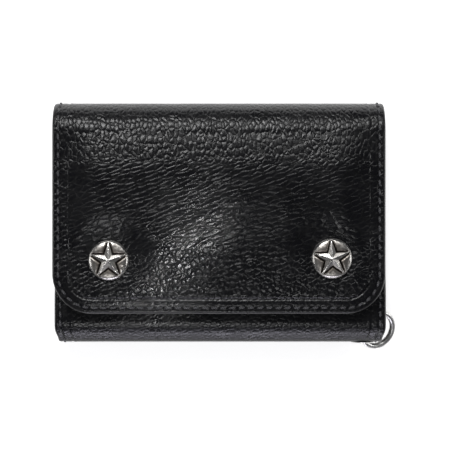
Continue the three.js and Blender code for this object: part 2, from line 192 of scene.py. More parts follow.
SNAPS = {}
for side in ("left", "right"):
    low, high = box_mm(f"concho_{side}")
    SNAPS[side] = (low + high) / 2
CONCHO_TURN = {"left": 0.0, "right": math.radians(3)}
CONCHO_RADIUS = (box_mm("concho_left")[1] - box_mm("concho_left")[0])[0] / 2

SEAM_INSET = 2.3                  # the seam's distance from the leather's edge
CREASE_INSET = 5.5                # the pressed line's distance from the edge
STITCH_PITCH = 3.45
THREAD_RADIUS = 0.44
INNER_PITCH = 2.9                 # of the seams of the pockets
SWELL_ANGLE = math.radians(28)    # slant of the step in the flap's pillow
BULGE_SLOPE = 0.60                # of the front panel where it meets the bottom fold
BULGE_LENGTH = 3.8
BULGE_RUN_OUT = 2.6
SOCKET_MOUTH = 3.8                # radius
TOOTH_PITCH = 1.25                # of the zip
COIN_POCKET_HALF = 59.0           # half its width
EYELET_BORE = 3.2                 # radius
WINDOW_BORDER = 6.0               # leather round the licence window
FLOOR_Z = -0.0002                 # metres, as the camera's numbers
CAMERA_DISTANCE = 0.520           # above the closed wallet
CAMERA_FIELD = 0.1683             # width that it sees at that distance
CAMERA_CENTRE = (0.0023, -0.0009)

# ------------------------------------------------------------------ the side profile

# Each leg is (length, radius), with radius 0 for a straight one. The profile turns clockwise.
LEGS = {
    "flap": (FOLD_Y - FLAP_LOW[1], 0),
    "fold_1": (math.pi * FOLD_RADIUS / 4, FOLD_RADIUS),
    "fold_2": (math.pi * FOLD_RADIUS / 4, FOLD_RADIUS),
    "fold_3": (math.pi * FOLD_RADIUS / 4, FOLD_RADIUS),
    "fold_4": (math.pi * FOLD_RADIUS / 4, FOLD_RADIUS),
    "back": (FOLD_Y - BEND_Y, 0),
    "bend_1": (math.pi * BEND_RADIUS / 2, BEND_RADIUS),
    "gusset": (FRONT_FACE - LEATHER - 2 * BEND_RADIUS, 0),
    "bend_2": (math.pi * BEND_RADIUS / 2, BEND_RADIUS),
    "front": (FRONT_HIGH[1] - BEND_Y, 0),
}


def leg_starts():
    """Start of each leg: its s, its point in the Y-Z plane and the angle of its outward normal."""
    s, angle = 0.0, math.pi / 2
    point = np.array([FLAP_LOW[1], THICKNESS - HALF_LEATHER])
    starts = {}
    for name, (length, radius) in LEGS.items():
        starts[name] = (s, point.copy(), angle)
        if radius:
            centre = point - radius * np.array([math.cos(angle), math.sin(angle)])
            angle -= length / radius
            point = centre + radius * np.array([math.cos(angle), math.sin(angle)])
        else:
            point = point + length * np.array([math.sin(angle), -math.cos(angle)])
        s += length
    return starts, s


STARTS, STRIP_LENGTH = leg_starts()


def span(leg):
    """The first and last s of a leg."""
    start = STARTS[leg][0]
    return start, start + LEGS[leg][0]


def profile(s):
    """Y, Z and the normal's angle of the leather's middle at s."""
    s = np.asarray(s, float)
    y, z, angle = np.zeros_like(s), np.zeros_like(s), np.zeros_like(s)
    names = list(LEGS)
    for i, name in enumerate(names):
        length, radius = LEGS[name]
        s0, p0, a0 = STARTS[name]
        inside = (s >= s0) | (i == 0)
        inside &= (s < s0 + length) | (i == len(names) - 1)
        d = s[inside] - s0
        if radius:
            a = a0 - d / radius
            y[inside] = p0[0] + radius * (np.cos(a) - math.cos(a0))
            z[inside] = p0[1] + radius * (np.sin(a) - math.sin(a0))
            angle[inside] = a
        else:
            y[inside] = p0[0] + d * math.sin(a0)
            z[inside] = p0[1] - d * math.cos(a0)
            angle[inside] = a0
    return y, z, angle


def smooth(x, low, high):
    t = np.clip((x - low) / (high - low), 0, 1)
    return t * t * (3 - 2 * t)


def half_width(s):
    """The strip narrows a little at the gusset, where the ring passes its end."""
    start, end = span("gusset")[0] - 7, span("gusset")[1] + 7
    ease = smooth(s, start, start + 6) * (1 - smooth(s, end - 6, end))
    return HALF_WIDTH - (HALF_WIDTH - GUSSET_HALF_WIDTH) * ease


def near_snaps(x, y, inner, outer):
    """1 at the snaps, falling to 0 away from them."""
    near = np.zeros_like(x)
    for centre in SNAPS.values():
        near = np.maximum(near, 1 - smooth(np.hypot(x - centre[0], y - centre[1]), inner, outer))
    return near


def wave(x, s):
    """How far the soft leather stands off its flat shape: it pillows over what the wallet holds,
    steps down along a slanting swell on the left, and the free edge sinks to the front panel."""
    y = FLAP_LOW[1] + s
    on_flap = 1 - smooth(s, span("flap")[1], span("flap")[1] + 8)
    ripple = 0.10 * np.sin(x / 15 + 1.1) * np.sin(s / 12 + 0.4) + 0.06 * np.sin(x / 8.5 + s / 17 + 2)
    slant = y * math.cos(SWELL_ANGLE) - x * math.sin(SWELL_ANGLE)
    left = 1 - smooth(x, 2, 26)
    step = left * smooth(slant, -15, 6) + (1 - left) * smooth(y, -36, 26)
    pillow = 2.4 * step * (1 - smooth(y, 18, 40)) * (1 - smooth(np.abs(x), 44, 61))
    sink = -0.6 * (1 - smooth(s, 0, 18)) - 0.3 * smooth(np.abs(x), 46, 62)
    loose = 1 - near_snaps(x, y, 7.7, 19)
    flap = on_flap * loose * (ripple + pillow + sink)
    above = s - span("front")[0]
    share = np.clip(above / BULGE_LENGTH, 0, 1)
    bulge = BULGE_SLOPE * BULGE_LENGTH / 2 * (1 - (1 - share) ** 2) * (1 - smooth(above, 12, 24))
    below = np.clip(-above, 0, BULGE_RUN_OUT)
    dip = BULGE_SLOPE * below * (1 - below / (2 * BULGE_RUN_OUT))
    dip *= smooth(-above, LEGS["bend_2"][0], BULGE_RUN_OUT)
    ripple = smooth(above, 0, 12) * 0.12 * (np.sin(x / 14 + 0.7) - 1)
    return flap + bulge - dip + ripple * (above > 0)


def grain_lie(x, s):
    """How much the grain runs lengthwise (over the folds), how much aslant (on the flap), and how
    far it has been pressed flat (along the border and round the bottom)."""
    y = FLAP_LOW[1] + s
    back, bend, front = (span(leg)[0] for leg in ("back", "bend_1", "front"))
    stretch = smooth(y, 17, 31) * (1 - smooth(s, back + 4, back + 20) * 0.8)
    edge = 1 - smooth(np.abs(x), 50, 60)
    slant = smooth(y, -20, 0) * (1 - smooth(y, 16, 28)) * (0.4 + 0.6 * edge)
    border = 1 - smooth(edge_distance(x, s), CREASE_INSET - 0.6, CREASE_INSET + 0.7)
    bottom = smooth(s, bend - 6, bend) * (1 - smooth(s, front + 8, front + 16))
    low = 1 - smooth(s, FLAP_CORNER * 0.6, FLAP_CORNER * 1.2)
    return stretch, slant, np.maximum((0.15 + 0.50 * low) * border, 0.58 * bottom)


def broadcast(x, t, n):
    return np.broadcast_arrays(np.asarray(x, float), np.asarray(t, float), np.asarray(n, float))


def lay(x, s, n):
    """Leather space to the row frame, in millimetres. The front panel is a little wider than the
    flap and stands a little further to the right."""
    x, s, n = broadcast(x, s, n)
    y, z, angle = profile(s)
    lift = n + wave(x, s)
    aside = smooth(s, span("back")[0] + 50, span("back")[1]) * (0.5 + 0.005 * x)
    return np.stack([x + aside, y + np.cos(angle) * lift, z + np.sin(angle) * lift], -1)


def flat(z, up=1):
    """A placement for a flat piece whose middle lies at height z and whose face looks up or down."""
    def place(x, t, n):
        x, t, n = broadcast(x, t, n)
        return np.stack([x, t, z + up * n], -1)
    return place


# ------------------------------------------------------------------ node helpers for materials

def new_material(name):
    material = bpy.data.materials.new(name)
    material.use_nodes = True
    tree = material.node_tree
    return material, tree, tree.nodes["Principled BSDF"]


def fill(tree, made, inputs):
    """Links or sets a node's inputs."""
    for key, value in inputs.items():
        if isinstance(value, bpy.types.NodeSocket):
            tree.links.new(value, made.inputs[key])
        else:
            made.inputs[key].default_value = value


def node(tree, kind, inputs, **settings):
    made = tree.nodes.new(kind)
    for key, value in settings.items():
        setattr(made, key, value)
    fill(tree, made, inputs)
    return made


def math_node(tree, operation, a, b):
    return node(tree, "ShaderNodeMath", {0: a, 1: b}, operation=operation).outputs[0]


def times(tree, a, b):
    return math_node(tree, "MULTIPLY", a, b)


def plus(tree, a, b, weight):
    """a + weight * b"""
    return math_node(tree, "ADD", a, times(tree, b, weight))


def rescaled(tree, value, source, target):
    """The value, taken from one (low, high) range to another."""
    return node(tree, "ShaderNodeMapRange", {
        "Value": value, "From Min": source[0], "From Max": source[1],
        "To Min": target[0], "To Max": target[1]}).outputs[0]


def shade(colour, share):
    return tuple(channel * share for channel in colour)


def ramp(tree, factor, stops):
    """A colour ramp from a list of (position, grey or colour)."""
    made = node(tree, "ShaderNodeValToRGB", {"Fac": factor})
    elements = made.color_ramp.elements
    while len(elements) < len(stops):
        elements.new(0.5)
    for element, (position, colour) in zip(elements, stops):
        element.position = position
        element.color = (*colour, 1) if isinstance(colour, tuple) else (colour, colour, colour, 1)
    return made.outputs["Color"]


def attribute(tree, name, output="Vector"):
    return node(tree, "ShaderNodeAttribute", {}, attribute_name=name).outputs[output]


def mapped(tree, vector, size=(1, 1, 1), turn=0.0):
    """The vector in a frame turned by turn and measured in the given sizes."""
    return node(tree, "ShaderNodeMapping", {
        "Vector": vector, "Scale": size, "Rotation": (0, 0, turn)}, vector_type="TEXTURE").outputs["Vector"]


def noise(tree, vector, scale, detail=3.0, roughness=0.55, output="Fac"):
    return node(tree, "ShaderNodeTexNoise", {
        "Vector": vector, "Scale": scale, "Detail": detail, "Roughness": roughness}).outputs[output]


def warped(tree, vector, scale, amount):
    """The vector, pushed about by a noise."""
    def step(operation, inputs):
        return node(tree, "ShaderNodeVectorMath", inputs, operation=operation).outputs[0]
    colour = noise(tree, vector, scale, 2.0, output="Color")
    shift = step("SUBTRACT", {0: colour, 1: (0.5, 0.5, 0.5)})
    return step("ADD", {0: vector, 1: step("SCALE", {0: shift, "Scale": amount})})


def bump(tree, height, distance, strength=1.0, normal=None):
    inputs = {"Height": height, "Distance": distance, "Strength": strength}
    if normal is not None:
        inputs["Normal"] = normal
    return node(tree, "ShaderNodeBump", inputs).outputs["Normal"]


# ------------------------------------------------------------------ materials

def pebbles(tree, place, length, width, turn=0.0):
    """Height of a layer of domed leather pebbles, about length by width in metres."""
    stretched = mapped(tree, place, (length, width, width), turn)
    cells = node(tree, "ShaderNodeTexVoronoi", {"Vector": stretched, "Scale": 1.0, "Randomness": 0.85},
                 feature="DISTANCE_TO_EDGE")
    return ramp(tree, cells.outputs["Distance"],
                [(0.0, 0.0), (0.07, 0.33), (0.16, 0.60), (0.28, 0.84), (0.40, 0.96), (0.5, 1.0)])


def mixed(tree, factor, a, b):
    """a where the factor is 0, b where it is 1."""
    rest = times(tree, a, math_node(tree, "SUBTRACT", 1.0, factor))
    return math_node(tree, "ADD", rest, times(tree, b, factor))


def leather(name, colour, roughness, depth):
    """Grained leather. The grain runs lengthwise over the fold, aslant where the leather has
    been creased, and evenly elsewhere."""
    material, tree, shader = new_material(name)
    place = attribute(tree, "grain")
    bent = warped(tree, place, 300.0, 0.0010)
    even = pebbles(tree, bent, 0.0021, 0.0017, math.radians(30))
    long = pebbles(tree, bent, 0.0028, 0.0016, math.radians(92))
    slanted = pebbles(tree, bent, 0.0038, 0.0016, math.radians(20))
    patches = math_node(tree, "SUBTRACT", noise(tree, place, 60.0, 1.0), 0.5)
    aslant, lengthwise = (
        ramp(tree, math_node(tree, "ADD", attribute(tree, lie, "Fac"), patches), [(0.42, 0.0), (0.58, 1.0)])
        for lie in ("slant", "stretch"))
    coarse = mixed(tree, lengthwise, mixed(tree, aslant, even, slanted), long)
    small = pebbles(tree, warped(tree, place, 900.0, 0.0004), 0.0011, 0.0009)
    wrinkles = noise(tree, mapped(tree, bent, (3.2, 0.9, 1.0), math.radians(20)), 200.0, 1.5)
    pores = noise(tree, place, 5200.0, 2.0)
    swell = noise(tree, place, 85.0, 2.0)
    height = times(tree, coarse, 0.85)
    for part, weight in ((small, 0.08), (wrinkles, 0.5), (pores, 0.03)):
        height = plus(tree, height, part, weight)
    rim = times(tree, attribute(tree, "rim", "Fac"), 0.85)
    flattened = math_node(tree, "MAXIMUM", rim, attribute(tree, "pressed", "Fac"))
    calm = math_node(tree, "SUBTRACT", 1.0, flattened)
    calm = times(tree, calm, ramp(tree, swell, [(0.3, 0.88), (0.65, 1.0)]))
    calm = times(tree, calm, ramp(tree, aslant, [(0.0, 1.0), (1.0, 0.78)]))
    spread = plus(tree, plus(tree, swell, pores, 0.3), coarse, -0.25)
    fill(tree, shader, {
        "Normal": bump(tree, times(tree, height, calm), depth),
        "Base Color": ramp(tree, coarse, [(0.0, shade(colour, 0.3)), (0.45, colour),
                                          (1.0, shade(colour, 1.3))]),
        "Roughness": rescaled(tree, spread, (0.2, 0.85), (roughness - 0.06, roughness + 0.10)),
        "Specular IOR Level": 0.5})
    return material


def textile(name, colour, threads, depth):
    """A close plain weave."""
    material, tree, shader = new_material(name)
    place = attribute(tree, "grain")
    warp, weft = (
        node(tree, "ShaderNodeTexWave", {"Vector": place, "Scale": threads, "Distortion": 0.6},
             bands_direction=direction).outputs["Fac"] for direction in ("X", "Y"))
    height = plus(tree, math_node(tree, "MAXIMUM", warp, weft), noise(tree, place, 2400.0, 3.0), 0.4)
    fill(tree, shader, {
        "Normal": bump(tree, height, depth),
        "Base Color": ramp(tree, height, [(0.2, shade(colour, 0.5)), (1.0, colour)]),
        "Roughness": 0.85, "Sheen Weight": 0.25})
    return material


def thread_material():
    """Waxed twisted thread: the twist is read along the seam. Its colour is partly the thread's own near-black and
    partly a painted highlight, lighter on the twist's crests.
    """
    material, tree, shader = new_material("waxed_thread")
    place = attribute(tree, "grain")
    twist = node(tree, "ShaderNodeTexWave", {
        "Vector": mapped(tree, place, (1, 1, 1), math.radians(40)), "Scale": 520.0, "Distortion": 0.3})
    height = plus(tree, twist.outputs["Fac"], noise(tree, place, 3000.0, 2.0), 0.3)
    fill(tree, shader, {
        "Normal": bump(tree, height, 0.00012),
        # the thread's own near-black in the grooves, lifted to dark grey on the twist's crests as a painted highlight
        "Base Color": ramp(tree, height, [(0.1, (0.012, 0.012, 0.013)), (1.0, (0.12, 0.12, 0.128))]),
        "Roughness": 0.40})
    return material


def antique_silver():
    """Cast silver, dark in the recesses and worn bright where it stands up."""
    material, tree, shader = new_material("antique_silver")
    place = attribute(tree, "grain")
    blotch = noise(tree, place, 900.0, 4.0, 0.65)
    fine = noise(tree, place, 4500.0, 3.0)
    worn = plus(tree, attribute(tree, "wear", "Fac"), math_node(tree, "SUBTRACT", blotch, 0.5), 0.5)
    dents = bump(tree, blotch, 0.00012, 0.7)
    fill(tree, shader, {
        "Base Color": ramp(tree, worn, [(0.12, (0.030, 0.026, 0.023)), (0.42, (0.27, 0.24, 0.21)),
                                        (0.72, (0.64, 0.62, 0.59)), (1.0, (0.90, 0.88, 0.85))]),
        "Roughness": rescaled(tree, worn, (0.1, 0.9), (0.5, 0.24)),
        "Normal": bump(tree, fine, 0.00003, 0.6, dents), "Metallic": 1.0})
    return material


def plated(name, colour, roughness):
    """Nickel plate with faint smears and hairline scratches."""
    material, tree, shader = new_material(name)
    place = node(tree, "ShaderNodeTexCoord", {}).outputs["Object"]
    smear = noise(tree, place, 700.0, 4.0, 0.6)
    scratch = noise(tree, mapped(tree, place, (7.0, 1.0, 1.0), 0.5), 6000.0, 2.0)
    fill(tree, shader, {
        "Base Color": ramp(tree, smear, [(0.3, shade(colour, 0.72)), (0.62, colour)]),
        "Roughness": rescaled(tree, smear, (0.3, 0.7), (roughness + 0.12, roughness)),
        "Normal": bump(tree, scratch, 0.00002, 0.5), "Metallic": 1.0})
    return material


def clear_film():
    """Slightly scuffed clear vinyl."""
    material, tree, shader = new_material("clear_film")
    place = attribute(tree, "grain")
    scuff = noise(tree, mapped(tree, place, (3.3, 1, 1), 0.6), 1500.0, 4.0)
    fill(tree, shader, {
        "Roughness": ramp(tree, scuff, [(0.45, 0.06), (0.75, 0.3)]),
        "Normal": bump(tree, noise(tree, place, 60.0, 1.0), 0.0006, 0.5),
        "Base Color": ramp(tree, scuff, [(0.3, (0.80, 0.83, 0.86)), (0.8, (0.9, 0.92, 0.94))]),
        "Alpha": 0.3, "IOR": 1.53})
    return material


OUTER = leather("outer_leather", (0.0034, 0.0034, 0.0046), 0.27, 0.00018)
EDGE = leather("burnished_edge", (0.010, 0.0095, 0.0105), 0.30, 0.00008)
INNER = leather("inner_leather", (0.0105, 0.0100, 0.0108), 0.50, 0.00014)
SUEDE = leather("flesh_side", (0.020, 0.018, 0.018), 0.85, 0.00010)
CLOTH = textile("lining_cloth", (0.014, 0.014, 0.016), 1400.0, 0.00008)
TAPE = textile("zip_tape_weave", (0.012, 0.012, 0.013), 900.0, 0.00015)
THREAD = thread_material()
SILVER = antique_silver()
NICKEL = plated("nickel_plate", (0.86, 0.855, 0.84), 0.30)
FILM = clear_film()
INNER_LEATHERS = (INNER, EDGE, SUEDE)   # outer face, edge, inner face
INNER_STITCH = (2.1, 0.26)              # length and radius


# ------------------------------------------------------------------ meshes from arrays

def make_mesh(name, points, faces, materials, slots=None, grain=None, extra=None, normals=None):
    """A smooth-shaded mesh object. points and grain are in millimetres."""
    mesh = bpy.data.meshes.new(name)
    mesh.from_pydata((points * MM).tolist(), [], [tuple(int(i) for i in face) for face in faces])
    for material in materials:
        mesh.materials.append(material)
    if slots is not None:
        mesh.polygons.foreach_set("material_index", np.asarray(slots, np.int32))
    mesh.polygons.foreach_set("use_smooth", np.ones(len(faces), bool))
    grain_points = points if grain is None else grain
    made = mesh.attributes.new("grain", "FLOAT_VECTOR", "POINT")
    made.data.foreach_set("vector", (grain_points * MM).astype(np.float32).ravel())
    for key, values in (extra or {}).items():
        made = mesh.attributes.new(key, "FLOAT", "POINT")
        made.data.foreach_set("value", np.asarray(values, np.float32))
    mesh.validate()
    mesh.update()
    if normals is not None:
        own = np.zeros(len(points) * 3, np.float32)
        mesh.vertex_normals.foreach_get("vector", own)
        own = own.reshape(-1, 3)
        given = ~np.isnan(normals[:, 0])
        own[given] = normals[given]
        mesh.normals_split_custom_set_from_vertices(own.tolist())
    made = bpy.data.objects.new(name, mesh)
    bpy.context.scene.collection.objects.link(made)
    return made


def join_parts(parts):
    """Several (points, faces, grain) lists as one."""
    points, faces, grain, offset = [], [], [], 0
    for part_points, part_faces, part_grain in parts:
        points.append(part_points)
        grain.append(part_grain)
        faces.extend([i + offset for i in face] for face in part_faces)
        offset += len(part_points)
    return np.concatenate(points), faces, np.concatenate(grain)


def tube_faces(rows, columns, ring=False):
    """Quads of a grid whose columns close on themselves, and so do its rows if it's a ring."""
    index = np.arange(rows * columns).reshape(rows, columns)
    a, b = (index, np.roll(index, -1, 0)) if ring else (index[:-1], index[1:])
    return np.stack([a, b, np.roll(b, -1, 1), np.roll(a, -1, 1)], -1).reshape(-1, 4)


def turned_over(faces):
    """Quads that face the other way and start at the same corner."""
    return np.roll(faces[:, ::-1], 1, axis=1)


def squared(angle, power):
    """Cosine and sine of a rounded square: power 1 is a circle, and a lower one is squarer."""
    c, s = np.cos(angle), np.sin(angle)
    return np.sign(c) * np.abs(c) ** power, np.sign(s) * np.abs(s) ** power


def assign(made, body, slot, *nodes):
    """States the piece's material, the CAD nodes that it stands for and the body it rides on."""
    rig.slot(made, slot)
    if nodes:
        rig.replaces(made, *nodes)
    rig.ride(made, body)


def metal(name, parts, body, *nodes, faceted=True):
    """A nickel piece, joined from its parts."""
    points, faces, grain = join_parts(parts)
    made = make_mesh(name, points, faces, [NICKEL], grain=grain)
    if faceted:
        made.data.polygons.foreach_set("use_smooth", np.zeros(len(made.data.polygons), bool))
    assign(made, body, "nickel", *nodes)


def sheet_rows(t0, t1, half, corner0, corner1, step):
    """t and the half width of each row of a sheet; rows at a round corner follow its arc."""
    def arc(corner):
        """How far the rows of a round corner lie from the end, and how much narrower they are."""
        if not corner:
            return np.zeros(0), np.zeros(0)
        phi = np.linspace(0, math.pi / 2, (48 if corner > 5 else 12) + 1)[:-1]
        return corner * (1 - np.cos(phi)), corner * (1 - np.sin(phi))

    (in0, less0), (in1, less1) = arc(corner0), arc(corner1)
    start, end = t0 + corner0, t1 - corner1
    middle = np.linspace(start, end, max(2, round((t1 - t0 - corner0 - corner1) / step) + 1))
    t = np.concatenate([t0 + in0, middle, t1 - in1[::-1]])
    return t, half(t) - np.concatenate([less0, np.zeros(len(middle)), less1[::-1]])


def border_chains(rows, columns, free):
    """The border's grid points, anticlockwise, as (indices, closed) for each free run."""
    index = np.arange(rows * columns).reshape(rows, columns)
    left, right = list(index[::-1, 0]), list(index[:, -1])
    start, end = list(index[0]), list(index[-1, ::-1])
    if free == (True, True):
        return [(start[:-1] + right[:-1] + end[:-1] + left[:-1], True)]
    if free == (True, False):
        return [(left[:-1] + start[:-1] + right, False)]
    if free == (False, True):
        return [(right[:-1] + end[:-1] + left, False)]
    return [(left, False), (right, False)]


def sheet(name, place, half, t0, t1, thickness, step, corners=(0, 0), free=(True, True), edge=None,
          relief=None, materials=(OUTER, EDGE, SUEDE), centre=0.0, fine_border=None):
    """A leather or cloth sheet with rounded edges. Its outer face takes relief(x, t); an end that
    isn't free is left open, to meet the next piece of the same leather."""
    edge = min(0.8, thickness * 0.55) if edge is None else edge
    if not callable(half):
        width = half
        half = lambda t: np.full_like(t, width)
    inner_t0 = t0 + edge if free[0] else t0
    inner_t1 = t1 - edge if free[1] else t1
    corner0 = max(corners[0] - edge, 0.3) if free[0] else 0
    corner1 = max(corners[1] - edge, 0.3) if free[1] else 0
    t, widths = sheet_rows(inner_t0, inner_t1, lambda v: half(v) - edge, corner0, corner1, step)
    columns = max(8, int(2 * widths.max() / step))
    u = np.linspace(-1, 1, columns)
    if fine_border:
        reach = 8 / widths.max()
        border = np.linspace(1 - reach, 1, int(8 / fine_border) + 1)
        u = np.concatenate([-border[::-1], u[np.abs(u) < 1 - reach - 0.4 * step / widths.max()], border])
        columns = len(u)
    x = centre + widths[:, None] * u[None, :]
    t_grid = np.repeat(t[:, None], columns, 1)
    rise = relief(x, t_grid) if relief is not None else np.zeros_like(x)
    rows = len(t)
    flat_x, flat_t, flat_rise = x.ravel(), t_grid.ravel(), rise.ravel()
    count = rows * columns
    xs, ts = [flat_x, flat_x], [flat_t, flat_t]
    ns = [thickness / 2 + flat_rise, np.full(count, -thickness / 2)]
    rim = [np.zeros(count), np.zeros(count)]
    index = np.arange(count).reshape(rows, columns)
    a, b = index[:-1, :-1].ravel(), index[:-1, 1:].ravel()
    c, d = index[1:, 1:].ravel(), index[1:, :-1].ravel()
    faces = [np.stack([a, b, c, d], 1), np.stack([d, c, b, a], 1) + count]
    slots = [np.zeros(len(a)), np.full(len(a), 2)]
    steps = 6
    offset = 2 * count
    for chain, closed in border_chains(rows, columns, tuple(free)):
        chain = np.array(chain)
        cx, ct = flat_x[chain], flat_t[chain]
        if closed:
            dx, dt = np.roll(cx, -1) - np.roll(cx, 1), np.roll(ct, -1) - np.roll(ct, 1)
        else:
            dx, dt = np.gradient(cx), np.gradient(ct)
        size = np.maximum(np.hypot(dx, dt), 1e-9)
        out_x, out_t = dt / size, -dx / size
        layers = [chain]
        for k in range(1, steps):
            theta = math.pi * k / steps
            xs.append(cx + edge * math.sin(theta) * out_x)
            ts.append(ct + edge * math.sin(theta) * out_t)
            share = (1 + math.cos(theta)) / 2
            ns.append(thickness / 2 * math.cos(theta) + flat_rise[chain] * share)
            rim.append(np.full(len(chain), math.sin(theta)))
            layers.append(offset + np.arange(len(chain)))
            offset += len(chain)
        layers.append(chain + count)
        for upper, lower in zip(layers[:-1], layers[1:]):
            if closed:
                next_upper, next_lower = np.roll(upper, -1), np.roll(lower, -1)
                quad = np.stack([upper, lower, next_lower, next_upper], 1)
            else:
                quad = np.stack([upper[:-1], lower[:-1], lower[1:], upper[1:]], 1)
            faces.append(quad)
            slots.append(np.ones(len(quad)))
    xs, ts, ns = np.concatenate(xs), np.concatenate(ts), np.concatenate(ns)
    points = place(xs, ts, ns)
    faces = np.concatenate(faces)
    delta = 0.01
    ex = place(xs[:1] + delta, ts[:1], ns[:1]) - points[:1]
    et = place(xs[:1], ts[:1] + delta, ns[:1]) - points[:1]
    en = place(xs[:1], ts[:1], ns[:1] + delta) - points[:1]
    if np.dot(np.cross(ex[0], et[0]), en[0]) < 0:
        faces = faces[:, ::-1]
    normals = None
    if not all(free):
        normals = np.full((len(points), 3), np.nan)
        joined = np.zeros(count, bool).reshape(rows, columns)
        joined[0] |= not free[0]
        joined[-1] |= not free[1]
        which = np.flatnonzero(joined.ravel())
        def face_point(px, pt):
            lift = relief(px, pt) if relief is not None else 0
            return place(px, pt, thickness / 2 + lift)
        px, pt = xs[which], ts[which]
        along_x = face_point(px + delta, pt) - face_point(px - delta, pt)
        along_t = face_point(px, pt + delta) - face_point(px, pt - delta)
        cross = np.cross(along_x, along_t)
        normals[which] = cross / np.linalg.norm(cross, axis=1, keepdims=True)
    grain = np.stack([xs, ts, ns], 1)
    stretch, slant, pressed = grain_lie(xs, ts) if place is lay else np.zeros((3, len(xs)))
    lies = {"rim": np.concatenate(rim), "stretch": stretch, "slant": slant, "pressed": pressed}
    return make_mesh(name, points, faces, materials, np.concatenate(slots), grain, lies, normals)


# ------------------------------------------------------------------ the outer leather

def edge_distance(x, s):
    """Distance from the strip's outline, whose two ends have round corners."""
    side = half_width(s) - np.abs(x)
    distance = side.copy()
    for end, corner in ((s, FLAP_CORNER), (STRIP_LENGTH - s, FRONT_CORNER)):
        near = np.minimum(side, end)
        in_corner = (side < corner) & (end < corner)
        rounded = corner - np.hypot(corner - side, corner - end)
        distance = np.minimum(distance, np.where(in_corner, rounded, near))
    return distance


def outer_relief(x, s):
    """The pressed crease, the seam's furrow with its puckers, and dents under the hardware."""
    d = edge_distance(x, s)
    firm = 0.3 + 0.7 * (1 - smooth(s, FLAP_CORNER * 0.6, FLAP_CORNER * 1.2))
    crease = -0.44 * firm * np.exp(-((d - CREASE_INSET) / 0.42) ** 2)
    crease += 0.20 * firm * np.exp(-((d - CREASE_INSET - 0.95) / 0.50) ** 2)
    along = (np.abs(x) + s) * 2 * math.pi / STITCH_PITCH
    furrow = -(0.20 + 0.10 * np.cos(along)) * np.exp(-((d - SEAM_INSET) / 0.62) ** 2)
    pillow = 0.22 * smooth(d, CREASE_INSET + 0.3, CREASE_INSET + 6)
    bevel = -0.16 * (1 - smooth(d, 0.3, 1.2))
    y = FLAP_LOW[1] + s
    dent = np.zeros_like(x)
    for centre in SNAPS.values():
        r = np.hypot(x - centre[0], y - centre[1])
        dent -= 0.22 * np.exp(-((r - CONCHO_RADIUS) / 1.3) ** 2)
    on_flap = 1 - smooth(s, span("flap")[1] - 4, span("flap")[1])
    return crease + furrow + pillow * on_flap + bevel + dent * on_flap


BODY_OF_LEG = {
    "flap": ("flap",), "fold_1": ("flap", "top_fold_3"), "fold_2": ("top_fold_3", "top_fold_2"),
    "fold_3": ("top_fold_2", "top_fold_1"), "fold_4": ("top_fold_1", "back"), "back": ("back",),
    "bend_1": ("back", "bottom_fold"), "gusset": ("bottom_fold",),
    "bend_2": ("bottom_fold", "front"), "front": ("front",),
}
NODES_OF_LEG = {
    "flap": ["flap_leather"], "fold_1": ["top_fold_strip_3"], "fold_3": ["top_fold_strip_2"],
    "fold_4": ["top_fold_strip_1"], "back": ["back_panel"], "gusset": ["bottom_gusset"],
    "front": ["front_leather"],
}
STEP_OF_LEG = {"flap": 0.55, "back": 1.1, "front": 0.8, "gusset": 0.8}


def attach(piece, leg):
    """The piece rides on the leg's body, or bends between the two bodies that the leg joins."""
    bodies = BODY_OF_LEG[leg]
    if len(bodies) == 1:
        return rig.ride(piece, bodies[0])
    s0, s1 = span(leg)
    ends = []
    for s in (s0, s1):
        y, z, _ = profile(np.array([s]))
        ends.append((0.0, y[0] * MM, z[0] * MM))
    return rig.blend(piece, bodies[0], bodies[1], start=ends[0], end=ends[1])


def outer_skin():
    for leg in LEGS:
        s0, s1 = span(leg)
        free = (leg == "flap", leg == "front")
        skin = sheet(f"{leg}_skin", lay, half_width, s0, s1, LEATHER, STEP_OF_LEG.get(leg, 0.7),
                     corners=(FLAP_CORNER, FRONT_CORNER), free=free, edge=0.75, relief=outer_relief,
                     fine_border=0.32)
        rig.slot(skin, "outer_leather")
        if leg in NODES_OF_LEG:
            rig.replaces(skin, *NODES_OF_LEG[leg])
        attach(skin, leg)


# ------------------------------------------------------------------ seams

def stitch(place, x, t, direction, n, length, radius, lean=0.09):
    """One stitch as (points, faces, grain): a lens of thread whose ends dive into the leather."""
    sections, sides = 7, 8
    angle = direction + lean
    along = np.array([math.cos(angle), math.sin(angle)])
    across = np.array([-along[1], along[0]])
    v = np.linspace(-1, 1, sections)[:, None]
    phi = 2 * math.pi * np.arange(sides) / sides
    girth = radius * np.sqrt(np.maximum(1 - np.abs(v) ** 3.2, 0.04))
    height = n + radius * 0.25 - 0.42 * np.abs(v) ** 3
    offset = (v * length / 2)[..., None] * along + (girth * np.cos(phi))[..., None] * across
    local = np.dstack([x + offset[..., 0], t + offset[..., 1], height + girth * 0.8 * np.sin(phi)])
    local = local.reshape(-1, 3)
    faces = turned_over(tube_faces(sections, sides)).tolist()
    faces += [list(range(sides))[::-1], list(range((sections - 1) * sides, sections * sides))]
    grain = local - np.array([x, t, n])
    twisted = np.stack([grain[:, :2] @ along, grain[:, :2] @ across, grain[:, 2]], 1)
    return place(local[:, 0], local[:, 1], local[:, 2]), faces, twisted + np.array([x, t, 0])


def along_path(path, pitch):
    """Middle and direction of each stitch on an (x, t) path, evenly spaced near the pitch."""
    path = np.asarray(path, float)
    lengths = np.concatenate([[0], np.cumsum(np.hypot(*np.diff(path, axis=0).T))])
    count = max(1, round(lengths[-1] / pitch))
    places = (np.arange(count) + 0.5) * lengths[-1] / count
    reach = pitch * 0.3
    x, t = np.interp(places, lengths, path[:, 0]), np.interp(places, lengths, path[:, 1])
    dx, dt = (np.interp(places + reach, lengths, column) - np.interp(places - reach, lengths, column)
              for column in path.T)
    return list(zip(x, t, np.arctan2(dt, dx)))


